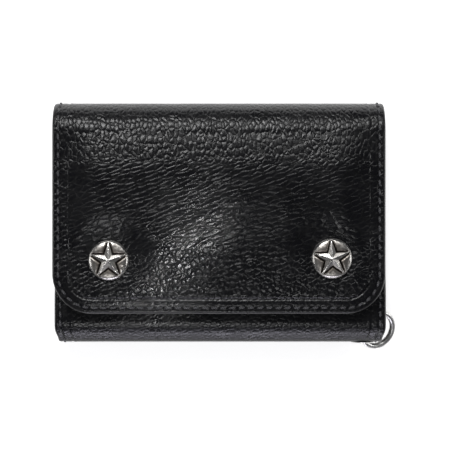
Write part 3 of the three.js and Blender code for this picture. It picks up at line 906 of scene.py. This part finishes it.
def rounded_run(half, t0, t1, corner0, corner1):
    """An (x, t) path up the right side of a rounded rectangle, from the middle of one end to the
    middle of the other."""
    quarter = np.linspace(0, math.pi / 2, 14)
    run = [(0.0, t0)]
    run += [(half - corner0 + corner0 * math.sin(a), t0 + corner0 * (1 - math.cos(a))) for a in quarter]
    for t in np.linspace(t0 + corner0, t1 - corner1, 200)[1:-1]:
        run.append((half, t))
    run += [(half - corner1 + corner1 * math.cos(a), t1 - corner1 * (1 - math.sin(a))) for a in quarter]
    run.append((0.0, t1))
    return np.array(run)


def seam(name, place, stitches, n, length=2.55, radius=THREAD_RADIUS):
    points, faces, grain = join_parts([stitch(place, x, t, a, n, length, radius) for x, t, a in stitches])
    made = make_mesh(name, points, faces, [THREAD], grain=grain)
    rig.slot(made, "black_textile")
    return made


def outer_seams():
    run = rounded_run(HALF_WIDTH - SEAM_INSET, SEAM_INSET, STRIP_LENGTH - SEAM_INSET,
                      FLAP_CORNER - SEAM_INSET, FRONT_CORNER - SEAM_INSET)
    narrow = np.minimum(run[:, 0], half_width(run[:, 1]) - SEAM_INSET)
    stitches = []
    for sign in (1, -1):
        stitches += along_path(np.stack([sign * narrow, run[:, 1]], 1), STITCH_PITCH)
    for leg in LEGS:
        s0, s1 = span(leg)
        mine = [st for st in stitches if s0 <= st[1] < s1]
        attach(seam(f"{leg}_seam", lay, mine, HALF_LEATHER - 0.04), leg)


outer_skin()
outer_seams()

# ------------------------------------------------------------------ conchos

def star_distance(a, b, tip, waist):
    """Distance inside a star's outline (negative outside), for a point a along the nearest arm's
    middle line and b beside it."""
    waist_a, waist_b = waist * math.cos(math.pi / 5), waist * math.sin(math.pi / 5)
    edge = np.array([tip - waist_a, -waist_b])
    inward = np.array([edge[1], -edge[0]]) / np.hypot(*edge)
    return (a - tip) * inward[0] + b * inward[1]


def concho_height(r, theta, apex, rim):
    """Height and wear of a domed disc with a raised star of five ridged arms, sunk round the star
    and rolled at the edge."""
    tip, waist = 0.94 * CONCHO_RADIUS, 0.34 * CONCHO_RADIUS
    tip_height, waist_height = rim + 0.85, apex - 1.15
    q = r / CONCHO_RADIUS
    shoulder = smooth(q, 0.45, 0.82) * (1 - smooth(q, 0.90, 1.0) * 0.9)
    base = rim + 1.95 * np.sqrt(np.clip(1 - q ** 2, 0, 1)) + 0.22 * shoulder
    arm = np.mod(theta - math.pi / 2 + math.pi / 5, 2 * math.pi / 5) - math.pi / 5
    a, b = r * np.cos(arm), r * np.abs(np.sin(arm))
    waist_a, waist_b = waist * math.cos(math.pi / 5), waist * math.sin(math.pi / 5)
    slope_a = (tip_height - apex) / tip
    slope_b = (waist_height - apex - slope_a * waist_a) / waist_b
    facet = apex + slope_a * a + slope_b * b
    inside = star_distance(a, b, tip, waist)
    on_star = smooth(inside, -0.16, 0.10)
    trench = 0.75 * np.exp(-(np.clip(-inside, 0, None) / 0.62) ** 2) * (1 - smooth(q, 0.80, 0.95))
    height = (base - trench) * (1 - on_star) + np.maximum(facet, base - 0.25) * on_star
    ridge = np.exp(-(b / 0.20) ** 2)
    lip = smooth(q, 0.86, 0.93)
    wear = 0.46 + 0.20 * on_star + 0.34 * on_star * ridge + 0.25 * lip
    wear -= 0.55 * np.exp(-((inside + 0.34) / 0.36) ** 2) * (1 - 0.7 * lip)
    wear += 0.14 * smooth(q, 0.55, 0.85) * (1 - on_star)
    return height, np.clip(wear, 0, 1)


def concho(side):
    """A domed star disc, closed underneath."""
    centre = SNAPS[side]
    base = THICKNESS + 0.02
    apex = box_mm(f"concho_{side}")[1][2] - base
    rim = 0.62
    rings, spokes = 70, 260
    radii = CONCHO_RADIUS * 0.985 * np.linspace(0.02, 1, rings) ** 0.8
    theta = np.linspace(0, 2 * math.pi, spokes, endpoint=False)
    r, th = np.meshgrid(radii, theta, indexing="ij")
    height, wear = concho_height(r, th, apex, rim)
    rng = np.random.default_rng(5 if side == "left" else 6)
    for _ in range(34):   # small casting dents
        x0, y0 = rng.uniform(-1, 1, 2) * CONCHO_RADIUS * 0.9
        away = (r * np.cos(th) - x0) ** 2 + (r * np.sin(th) - y0) ** 2
        near = np.exp(-away / rng.uniform(0.2, 0.7))
        height -= 0.06 * rng.uniform(0.2, 1) * near
    edge_height = height[-1:]
    for share, part in ((0.995, 0.86), (1.0, 0.62), (1.0, 0.3), (0.985, 0.04), (0.9, 0.0), (0.3, 0.0)):
        r = np.vstack([r, np.full((1, spokes), CONCHO_RADIUS * share)])
        th = np.vstack([th, theta[None]])
        height = np.vstack([height, edge_height * part])
        wear = np.vstack([wear, np.full((1, spokes), 0.75 if share > 0.99 else 0.2)])
    angle = th + CONCHO_TURN[side]
    x, y = centre[0] + r * np.cos(angle), centre[1] + r * np.sin(angle)
    points = np.stack([x, y, base + height], -1).reshape(-1, 3)
    faces = tube_faces(len(r), spokes).tolist()
    top, bottom = len(points), len(points) + 1
    last = top - spokes
    points = np.vstack([points, [[centre[0], centre[1], base + apex]], [[centre[0], centre[1], base]]])
    faces += [[top, j, (j + 1) % spokes] for j in range(spokes)]
    faces += [[bottom, last + (j + 1) % spokes, last + j] for j in range(spokes)]
    made = make_mesh(f"star_concho_{side}", points, faces, [SILVER],
                     extra={"wear": np.concatenate([wear.ravel(), [1, 0.2]])})
    assign(made, "flap", "antique_silver", f"concho_{side}")


for side in SNAPS:
    concho(side)

# ------------------------------------------------------------------ ring

def ring():
    """The wire ring, laid round the axis that the CAD ring has."""
    low, high = box_mm("chain_ring")
    cad = np.array([v.co for v in frame["nodes"]["chain_ring"].data.vertices]) / MM
    centre = (low + high) / 2
    _, _, axes = np.linalg.svd(cad - centre, full_matrices=False)
    across, along, axis = axes
    radial = (cad - centre) - np.outer((cad - centre) @ axis, axis)
    reach = np.linalg.norm(radial, axis=1)
    outer, inner = reach.max(), reach.min()
    middle, half_radial = (outer + inner) / 2, (outer - inner) / 2
    half_axial = np.abs((cad - centre) @ axis).max()
    turns, sides = 120, 24
    big = np.linspace(0, 2 * math.pi, turns, endpoint=False)
    small = np.linspace(0, 2 * math.pi, sides, endpoint=False)
    g, h = np.meshgrid(big, small, indexing="ij")
    power = 0.8   # a slightly squared section, as of a flattened wire
    cos_h, sin_h = squared(h, power)
    distance = middle + half_radial * cos_h
    points = centre + (half_axial * sin_h)[..., None] * axis
    points = points + (distance * np.cos(g))[..., None] * across
    points = (points + (distance * np.sin(g))[..., None] * along).reshape(-1, 3)
    faces = tube_faces(turns, sides, ring=True)
    if np.dot(np.cross(across, along), axis) < 0:
        faces = faces[:, ::-1]
    assign(make_mesh("chain_ring_round", points, faces, [NICKEL]), "ring", "nickel", "chain_ring")


ring()

# ------------------------------------------------------------------ more builders

def under(depth):
    """A placement on the flap's or the front's inner side: depth is how far inside the leather's
    middle the piece's own middle lies, and its face looks inwards."""
    def place(x, t, n):
        return lay(x, t, -depth - np.asarray(n, float))
    return place


def turned(name, profile, centre, body, cad_node, toward=(0, 0, 1), segments=96, smoothing=3):
    """A lathed nickel piece. The profile lists (radius, height); its corners are rounded a little."""
    profile = np.asarray(profile, float)
    for _ in range(smoothing):
        closer = [profile[0]]
        for a, b in zip(profile[:-1], profile[1:]):
            length = np.linalg.norm(b - a)
            cut = min(0.25, 0.09 / max(length, 1e-6))
            closer += [a + (b - a) * cut, b - (b - a) * cut]
        closer.append(profile[-1])
        profile = np.array(closer)
    profile[:, 0] = np.maximum(profile[:, 0], 0.004)
    phi = np.linspace(0, 2 * math.pi, segments, endpoint=False)
    toward = np.asarray(toward, float)
    side = np.cross((0.0, 1.0, 0.0) if abs(toward[1]) < 0.9 else (0.0, 0.0, 1.0), toward)
    up = np.cross(toward, side)
    r, h = profile[:, 0][:, None], profile[:, 1][:, None]
    points = (np.asarray(centre, float) + (r * np.cos(phi))[..., None] * side
              + (r * np.sin(phi))[..., None] * up + (h + 0 * phi)[..., None] * toward)
    faces = turned_over(tube_faces(len(profile), segments))
    assign(make_mesh(name, points.reshape(-1, 3), faces, [NICKEL]), body, "nickel", cad_node)


def chamfered(x0, x1, y0, y1, z0, z1, cut):
    """A block with its edges cut off, as (points, faces, grain)."""
    low, high = np.array([x0, y0, z0]), np.array([x1, y1, z1])
    corners = list(product((0, 1), repeat=3))
    points, find = [], {}
    for corner in corners:
        for axis in range(3):
            point = np.where(corner, high - cut, low + cut)
            point[axis] = high[axis] if corner[axis] else low[axis]
            find[corner, axis] = len(points)
            points.append(point)
    points = np.array(points)
    middle = (low + high) / 2
    loops = []
    for axis, value in product(range(3), (0, 1)):
        loop = []
        for pair in ((0, 0), (1, 0), (1, 1), (0, 1)):
            corner = list(pair)
            corner.insert(axis, value)
            loop.append(find[tuple(corner), axis])
        loops.append(loop)
    for (a, b), va, vb in product(((0, 1), (0, 2), (1, 2)), (0, 1), (0, 1)):
        ends = [corner for corner in corners if corner[a] == va and corner[b] == vb]
        loops.append([find[ends[0], a], find[ends[0], b], find[ends[1], b], find[ends[1], a]])
    for corner in corners:
        loops.append([find[corner, axis] for axis in range(3)])
    faces = []
    for loop in loops:
        ring_points = points[loop]
        normal = np.cross(ring_points[1] - ring_points[0], ring_points[2] - ring_points[0])
        outward = ring_points.mean(0) - middle
        faces.append(loop if normal @ outward > 0 else loop[::-1])
    return points, faces, points


def swept(path, across, half_across, half_up, sides=16, power=0.6):
    """A rounded-rectangle section swept along a path, as (points, faces, grain)."""
    path, across = np.asarray(path, float), np.asarray(across, float)
    tangent = np.gradient(path, axis=0)
    tangent /= np.linalg.norm(tangent, axis=1, keepdims=True)
    up = np.cross(tangent, across)
    up /= np.linalg.norm(up, axis=1, keepdims=True)
    phi = np.linspace(0, 2 * math.pi, sides, endpoint=False)
    c, s = squared(phi, power)
    points = (path[:, None] + (half_across * c)[None, :, None] * across
              + (half_up * s)[None, :, None] * up[:, None]).reshape(-1, 3)
    faces = tube_faces(len(path), sides).tolist()
    faces += [list(range(sides)), list(range(len(points) - sides, len(points)))[::-1]]
    return points, faces, points


def edge_outline(half_x, half_y, radius, count=24):
    """A rounded rectangle round the origin, with the same number of points for any size."""
    outline = []
    for quarter, (sx, sy) in enumerate(((1, -1), (1, 1), (-1, 1), (-1, -1))):
        for k in range(count):
            angle = -math.pi / 2 + quarter * math.pi / 2 + (k / (count - 1)) * math.pi / 2
            outline.append((sx * (half_x - radius) + radius * math.cos(angle),
                            sy * (half_y - radius) + radius * math.sin(angle)))
        side_from = np.array(outline[-1])
        side_to = side_from * ((1, -1) if quarter in (0, 2) else (-1, 1))
        for k in range(1, 40):
            outline.append(tuple(side_from + (side_to - side_from) * k / 40))
    return np.array(outline)


def window_frame(name, place, centre, outer, inner, thickness, materials):
    """A flat frame with rounded edges. outer and inner are (half_x, half_y, radius)."""
    edge = thickness * 0.4
    out = edge_outline(outer[0] - edge, outer[1] - edge, outer[2]) + centre
    hole = edge_outline(inner[0] + edge, inner[1] + edge, inner[2] + edge) + centre
    step = np.roll(out, -1, 0) - np.roll(out, 1, 0)
    away = np.stack([step[:, 1], -step[:, 0]], 1)
    away /= np.linalg.norm(away, axis=1, keepdims=True)
    section = []
    for share0, sign in ((0, 1), (1, -1)):   # over the face and round the outer edge, then back
        half = sign * thickness / 2
        section += [(share, 0.0, half) for share in np.linspace(share0, 1 - share0, 6)]
        section += [(1.0 - share0, sign * edge * math.sin(a), half * math.cos(a))
                    for a in np.linspace(0, math.pi, 7)[1:-1]]
    rows = []
    for share, shift, n in section:
        xy = hole + (out - hole) * share + away * shift
        rows.append(np.column_stack([xy, np.full(len(xy), n)]))
    local = np.array(rows)
    count = len(out)
    faces = tube_faces(len(local), count, ring=True)
    flat_points = local.reshape(-1, 3)
    points = place(flat_points[:, 0], flat_points[:, 1], flat_points[:, 2])
    a, b, c, _ = points[faces[count // 2]]
    up = place(flat_points[:1, 0], flat_points[:1, 1], flat_points[:1, 2] + 1) - points[:1]
    if np.cross(b - a, c - a) @ up[0] < 0:
        faces = faces[:, ::-1]
    return make_mesh(name, points, faces, materials, grain=flat_points)


def ring_run(half_x, half_y, radius, centre):
    """A closed seam path."""
    outline = edge_outline(half_x, half_y, radius) + centre
    return np.vstack([outline, outline[:1]])


# ------------------------------------------------------------------ inside: note divider and cards

def seam_relief(high, inset=2.0):
    """Furrows along a flat sheet's side seams and a pressed line under its mouth."""
    def relief(x, t):
        side = high[0] - np.abs(x)
        furrow = -0.10 * np.exp(-((side - inset) / 0.6) ** 2)
        line = -0.12 * np.exp(-((high[1] - t - 2.2) / 0.5) ** 2)
        roll = 0.05 * np.sin(x / 19 + t / 23) * smooth(side, 2, 12)
        return furrow + line + roll * 0.6
    return relief


def flat_piece(name, body, slot, up, corners, materials, step=0.9, relief=None, edge=None):
    """A sheet that fills its CAD box."""
    low, high = box_mm(name)
    middle = (low + high) / 2
    made = sheet(f"{name}_sheet", flat(middle[2], up), (high[0] - low[0]) / 2, low[1], high[1],
                 high[2] - low[2], step, corners, edge=edge, relief=relief, materials=materials,
                 centre=middle[0])
    assign(made, body, slot, name)


def straight(x0, t0, x1, t1):
    """The stitches of a straight seam on a pocket."""
    return along_path([(x0, t0), (x1, t1)], INNER_PITCH)


def back_stack():
    """The note divider and the stepped card slots on the back panel."""
    names = ["note_divider", "card_base"] + [f"card_slot_{i}" for i in (1, 2, 3, 4)]
    boxes = [box_mm(name) for name in names]
    for name, (_, high) in zip(names, boxes):
        flat_piece(name, "back", "inner_leather", 1, (3, 2), INNER_LEATHERS, relief=seam_relief(high))
    for i, (low, high) in enumerate(boxes[1:], 1):
        last = i + 1 == len(boxes)
        below = low[1] + 2 if last else boxes[i + 1][1][1]
        stitches = []
        for x in (-high[0] + 2, 0.0, high[0] - 2):
            stitches += straight(x, below + 1.2, x, high[1] - 1.2)
        if last:
            stitches += straight(-high[0] + 4, low[1] + 2, high[0] - 4, low[1] + 2)
        piece = seam(f"{names[i]}_seam", flat(high[2], 1), stitches, -0.08, *INNER_STITCH)
        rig.ride(piece, "back")


# ------------------------------------------------------------------ inside: flap lining, licence window

def flap_box(name):
    """The node's box and size, its middle's depth inside the flap, and where it starts and ends
    along the leather."""
    low, high = box_mm(name)
    depth = THICKNESS - HALF_LEATHER - (low[2] + high[2]) / 2
    return high, high[2] - low[2], depth, low[1] - FLAP_LOW[1], high[1] - FLAP_LOW[1]


def flap_inside():
    """The lining, and the licence window with its frame."""
    high, thickness, depth, start, end = flap_box("flap_lining")
    lining = sheet("flap_lining_sheet", under(depth), high[0], start, end, thickness, 1.0,
                   (FLAP_CORNER - 1, 0.5), materials=INNER_LEATHERS)
    assign(lining, "flap", "inner_leather", "flap_lining")
    run = rounded_run(high[0] - 1.6, start + 1.6, end - 0.5, FLAP_CORNER - 2.6, 0.5)[:-15]
    stitches = []
    for sign in (1, -1):
        stitches += along_path(run * (sign, 1), STITCH_PITCH)
    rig.ride(seam("flap_lining_seam", under(depth + thickness / 2), stitches, -0.10, 2.4, 0.30), "flap")

    high, thickness, depth, start, end = flap_box("id_pocket_frame")
    centre = np.array([0.0, (start + end) / 2])
    half_x, half_y = high[0], (end - start) / 2
    made = window_frame("id_pocket_border", under(depth), centre, (half_x, half_y, 2.2),
                        (half_x - WINDOW_BORDER, half_y - WINDOW_BORDER, 1.5), thickness, INNER_LEATHERS)
    assign(made, "flap", "inner_leather", "id_pocket_frame")
    stitches = []
    for inset, radius in ((1.8, 1.5), (WINDOW_BORDER - 1.6, 2.6)):
        stitches += along_path(ring_run(half_x - inset, half_y - inset, radius, centre), INNER_PITCH)
    face = under(depth + thickness / 2)
    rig.ride(seam("id_pocket_seam", face, stitches, -0.10, *INNER_STITCH), "flap")

    high, thickness, depth, start, end = flap_box("id_window")
    film = sheet("id_window_film", under(depth), high[0], start, end, thickness, 1.2, (1, 1),
                 materials=[FILM] * 3)
    assign(film, "flap", "clear_film", "id_window")


# ------------------------------------------------------------------ snaps and eyelet

def snaps():
    """A socket with its spring inside the flap at each side, and a stud and its post on the front."""
    mouth = SOCKET_MOUTH
    for side in SNAPS:
        low, high = box_mm(f"snap_socket_{side}")
        x, y = (low[0] + high[0]) / 2, (low[1] + high[1]) / 2
        radius, z0, z1 = (high[0] - low[0]) / 2, low[2], high[2]
        profile = [(0, z1 - 0.6), (mouth - 0.2, z1 - 0.6), (mouth, z1 - 0.9), (mouth, z0 + 0.5),
                   (mouth + 0.15, z0 + 0.12), (mouth + 0.5, z0), (mouth + 0.85, z0 + 0.2),
                   (mouth + 1.0, z0 + 0.5), (radius - 0.9, z0 + 0.6), (radius - 0.55, z0 + 0.35),
                   (radius - 0.2, z0 + 0.5), (radius, z0 + 0.95), (radius, z1 - 0.5), (radius - 0.5, z1),
                   (0, z1)]
        turned(f"socket_{side}", profile[::-1], (x, y, 0), "flap", f"snap_socket_{side}")
        wires = []
        for sign in (1, -1):
            t = np.linspace(-1, 1, 15)
            bowed = x + sign * (2.05 + 0.25 * t ** 2)
            path = np.stack([bowed, y + 3.3 * t, np.full(15, z0 + 0.16)], 1)
            wires.append(swept(path, (0, 0, 1), 0.16, 0.16, 10, 1.0))
        metal(f"socket_spring_{side}", wires, "flap", faceted=False)

        low, high = box_mm(f"snap_stud_{side}")
        base, top, flange = FRONT_FACE - 0.05, high[2], (high[0] - low[0]) / 2
        profile = [(0, top), (1.1, top), (1.75, top - 0.12), (2.06, top - 0.45), (2.1, top - 0.8),
                   (1.95, top - 1.1), (1.66, top - 1.4), (1.62, base + 1.1), (1.9, base + 0.95),
                   (flange - 1.5, base + 0.9), (flange - 1.0, base + 1.0), (flange - 0.4, base + 0.75),
                   (flange - 0.05, base + 0.4), (flange, base + 0.1), (flange - 0.3, base), (0, base)]
        turned(f"stud_{side}", profile, (x, y, 0), "front", f"snap_stud_{side}")

        low, high = box_mm(f"snap_post_{side}")
        reach = (high[0] - low[0]) / 2
        profile = [(0, low[2]), (1.0, low[2]), (1.3, low[2] + 0.1), (reach - 0.5, low[2] + 0.1),
                   (reach, low[2] + 0.25), (reach, high[2] - 0.05), (0, high[2])]
        turned(f"post_{side}", profile[::-1], (x, y, 0), "front", f"snap_post_{side}", smoothing=1)


def eyelet():
    """A flanged eyelet in the spine and the washer that it's set against."""
    low, high = box_mm("ring_eyelet")
    centre = ((low[0] + high[0]) / 2, 0, (low[2] + high[2]) / 2)
    flange, bore = (high[0] - low[0]) / 2, EYELET_BORE
    outer, inner = -low[1], -high[1]
    profile = [(bore, inner), (bore, outer - 0.35), (bore + 0.15, outer - 0.08), (bore + 0.5, outer + 0.06),
               (flange - 0.6, outer), (flange - 0.15, outer - 0.15), (flange, outer - 0.45),
               (bore + 0.4, outer - 0.5), (bore + 0.4, inner), (bore, inner)]
    turned("eyelet", profile[::-1], centre, "bottom_fold", "ring_eyelet", toward=(0, -1, 0), smoothing=2)
    low, high = box_mm("ring_eyelet_washer")
    outer, inner = -low[1], -high[1]
    profile = [(bore, inner + 0.1), (bore + 0.3, inner), (flange - 0.2, inner + 0.12),
               (flange, outer - 0.05), (bore, outer), (bore, inner + 0.1)]
    turned("eyelet_washer", profile, centre, "bottom_fold", "ring_eyelet_washer", toward=(0, -1, 0),
           smoothing=2)


# ------------------------------------------------------------------ inside: coin pocket and its zip

def coin_pocket():
    """The panels above and below the zip, the lining behind them, and their seams."""
    half = COIN_POCKET_HALF
    lower_low, lower_high = box_mm("coin_pocket_panel_lower")
    upper_low = box_mm("coin_pocket_panel_upper")[0]

    def lower_relief(x, t):
        lip = -0.12 * np.exp(-((lower_high[1] - t - 2.6) / 0.5) ** 2)
        belly = 0.35 * np.cos(np.clip(x / half, -1, 1) * math.pi / 2)
        belly = belly * smooth(t, -32, -18) * (1 - smooth(t, -8, -2))
        return lip + belly - 0.10 * np.exp(-((half - np.abs(x) - 2.0) / 0.6) ** 2)

    def upper_relief(_, t):
        return -0.12 * np.exp(-((t - upper_low[1] - 2.6) / 0.5) ** 2)

    for name, corners, relief in (("lower", (3, 0.6), lower_relief), ("upper", (0.6, 1.5), upper_relief)):
        flat_piece(f"coin_pocket_panel_{name}", "front", "inner_leather", -1, corners, INNER_LEATHERS, 0.8,
                   relief)
    flat_piece("coin_pocket_lining", "front", "black_textile", -1, (3, 1.5), [CLOTH] * 3, 1.4)
    stitches = []
    for t in (lower_high[1] - 1.3, upper_low[1] + 1.3):
        stitches += straight(-half + 3, t, half - 3, t)
    for x in (-half + 2, half - 2):
        stitches += straight(x, lower_low[1] + 3, x, lower_high[1] - 1)
    stitches += straight(-half + 5, lower_low[1] + 2, half - 5, lower_low[1] + 2)
    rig.ride(seam("coin_pocket_seam", flat(lower_low[2], -1), stitches, -0.06, *INNER_STITCH), "front")


def zip_fastener():
    """Tapes with a corded edge, two rows of teeth, and a stop at each end."""
    for name, toward in (("zip_tape_upper", -1), ("zip_tape_lower", 1)):
        low, high = box_mm(name)
        near = high[1] if toward > 0 else low[1]

        def cord(_, t, near=near):
            return 0.16 * np.exp(-((np.abs(t - near) - 0.55) / 0.35) ** 2)
        flat_piece(name, "front", "black_textile", -1, (0.2, 0.2), [TAPE] * 3, 0.3, cord, 0.12)

    low, high = box_mm("zip_teeth")
    middle = (low[1] + high[1]) / 2
    teeth = []
    for side, shift in ((1, 0.0), (-1, 0.5)):
        root, tip, neck = middle + side * 1.3, middle - side * 0.45, middle + side * 0.95
        for i in range(int((high[0] - low[0]) / TOOTH_PITCH)):
            x = low[0] + 0.15 + (i + shift) * TOOTH_PITCH
            for more, end, inset, cut in ((0, tip, 0.04, 0.12), (0.16, neck, 0.12, 0.10)):
                teeth.append(chamfered(x - more, x + 0.56 + more, min(root, end), max(root, end),
                                       low[2] + inset, high[2] - inset, cut))
    metal("zip_teeth_row", teeth, "front", "zip_teeth")

    for side in ("left", "right"):
        low, high = box_mm(f"zip_stop_{side}")
        x0, x1, y0, y1, z0, z1 = low[0], high[0], low[1], high[1], low[2], high[2]
        mid_y = (y0 + y1) / 2
        staple = [chamfered(x0, x1, y0, y1, z0, z0 + 0.42, 0.16),
                  chamfered(x0, x1, y0, y1, z1 - 0.42, z1, 0.16),
                  chamfered(x0 + 0.2, x1 - 0.2, mid_y - 0.5, mid_y + 0.5, z0 + 0.2, z1 - 0.2, 0.1)]
        metal(f"zip_staple_{side}", staple, "front", f"zip_stop_{side}")


def slider():
    """Two waisted wings, the bridge over them, and the leather thong with its seam."""
    back_low, back_high = box_mm("zip_slider_back_wing")
    low, high = box_mm("zip_slider")
    mid_y = (back_low[1] + back_high[1]) / 2
    half = (back_high[1] - back_low[1]) / 2

    def waist(t):
        share = (t - back_low[0]) / (back_high[0] - back_low[0])
        return half * (0.78 + 0.22 * smooth(share, 0.15, 0.8))

    def along_x(z, up):
        def place(x, t, n):
            x, t, n = broadcast(x, t, n)
            return np.stack([t, mid_y + x, z + up * n], -1)
        return place

    def dish(x, _):
        return 0.06 * np.cos(np.clip(x / half, -1, 1) * math.pi / 2)

    wing_top, wing = high[2], 0.7
    back_middle, back_wing = (back_low[2] + back_high[2]) / 2, back_high[2] - back_low[2]
    for name, place, thickness, edge, relief, cad_node in (
            ("front", along_x(wing_top - wing / 2, -1), wing, 0.25, dish, "zip_slider"),
            ("back", along_x(back_middle, 1), back_wing, 0.2, None, "zip_slider_back_wing")):
        made = sheet(f"slider_{name}_wing", place, waist, back_low[0], back_high[0], thickness, 0.3,
                     (1.4, 1.4), edge=edge, relief=relief, materials=[NICKEL] * 3)
        assign(made, "zip_slider", "nickel", cad_node)
    u = np.linspace(0, 1, 25)
    start, end = back_low[0] + 1.5, back_high[0] - 1.5
    rise = np.clip(np.sin(u * math.pi), 0, 1) ** 0.35
    path = np.stack([start + (end - start) * (u - 0.06 * np.sin(2 * math.pi * u)), np.full(25, mid_y),
                     wing_top - wing + 0.15 - rise * (wing_top - wing - low[2] - 0.1)], 1)
    metal("slider_bridge", [swept(path, (0, 1, 0), 0.6, 0.24)], "zip_slider", faceted=False)

    low, high = box_mm("zip_pull")
    centre = (low[0] + high[0]) / 2

    def tee(t):
        return 1.6 + (high[0] - centre - 1.6) * smooth(t, high[1] - 1.8, high[1] - 1.0)
    made = sheet("pull_thong", flat((low[2] + high[2]) / 2, -1), tee, low[1], high[1],
                 high[2] - low[2], 0.4, (1.1, 0.5), edge=0.16, materials=INNER_LEATHERS, centre=centre)
    assign(made, "zip_slider", "inner_leather", "zip_pull")
    stitches = along_path([(centre, low[1] + 1.4), (centre, low[1] + 7.4)], 2.0)
    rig.ride(seam("pull_thong_seam", flat(low[2], -1), stitches, -0.05, 1.4, 0.16), "zip_slider")


back_stack()
flap_inside()
snaps()
eyelet()
coin_pocket()
zip_fastener()
slider()

# ------------------------------------------------------------------ floor, light and camera

def floor():
    size = 3.0
    corners = [(-size, -size), (size, -size), (size, size), (-size, size)]
    mesh = bpy.data.meshes.new("floor")
    mesh.from_pydata([(x, y, FLOOR_Z) for x, y in corners], [], [(0, 1, 2, 3)])
    made = bpy.data.objects.new("floor", mesh)
    bpy.context.scene.collection.objects.link(made)
    material, tree, shader = new_material("pale_floor")
    fill(tree, shader, {"Base Color": (0.86, 0.86, 0.86, 1), "Roughness": 0.95,
                        "Emission Color": (1, 1, 1, 1), "Emission Strength": 0.75})
    mesh.materials.append(material)
    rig.stage(made)


def area_light(name, azimuth, from_zenith, target, size, watts, colour=(1, 1, 1), spread=180.0,
               roll=0.0, distance=0.9):
    """A rectangular light aimed at target. A small spread is a grid on it."""
    light = bpy.data.lights.new(name, "AREA")
    light.shape = "RECTANGLE"
    light.size, light.size_y = size
    light.energy = watts
    light.color = colour
    light.spread = math.radians(spread)
    flat_angle, fall = math.radians(azimuth), math.radians(from_zenith)
    direction = Vector((math.sin(fall) * math.cos(flat_angle), math.sin(fall) * math.sin(flat_angle),
                        math.cos(fall)))
    made = bpy.data.objects.new(name, light)
    made.location = Vector(target) + direction * distance
    made.rotation_euler = ((-direction).to_track_quat("-Z", "Y")
                           @ Quaternion((0, 0, 1), math.radians(roll))).to_euler()
    bpy.context.scene.collection.objects.link(made)


def camera():
    data = bpy.data.cameras.new("camera")
    data.sensor_width = 36
    data.lens = data.sensor_width * CAMERA_DISTANCE / CAMERA_FIELD
    data.clip_end = 10
    made = bpy.data.objects.new("camera", data)
    made.location = (*CAMERA_CENTRE, THICKNESS * MM + CAMERA_DISTANCE)
    bpy.context.scene.collection.objects.link(made)
    bpy.context.scene.camera = made


def world():
    made = bpy.data.worlds.new("studio")
    bpy.context.scene.world = made
    made.use_nodes = True
    background = made.node_tree.nodes["Background"]
    background.inputs["Color"].default_value = (0.9, 0.93, 1.0, 1)
    background.inputs["Strength"].default_value = 0.05


floor()
camera()
world()
HEART = (0.0, 0.0, THICKNESS * MM)
area_light("fold_softbox_left", 108, 41, HEART, (0.36, 0.20), 3.1)
area_light("fold_softbox_right", 65, 44, HEART, (0.30, 0.20), 0.8)
area_light("low_card", 270, 75, HEART, (0.6, 0.14), 1.9, (0.90, 0.88, 1.0))
area_light("middle_softbox", 262, 30, (-0.020, -0.028, THICKNESS * MM), (0.24, 0.20), 0.8)
area_light("swell_grid", 298, 22, (-0.0160, -0.0125, THICKNESS * MM), (0.056, 0.013), 0.00125,
           spread=9.0, roll=34, distance=0.22)
area_light("right_card", 0, 72, HEART, (0.4, 0.2), 1.2)
area_light("left_card", 180, 72, HEART, (0.4, 0.2), 1.3)
bpy.context.scene.view_settings.view_transform = "Standard"

with open("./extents.json", "w") as size_file:
    low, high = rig.bounds()
    json.dump({"cad": [list(cad_low), list(cad_high)], "visual": [list(low), list(high)]}, size_file)
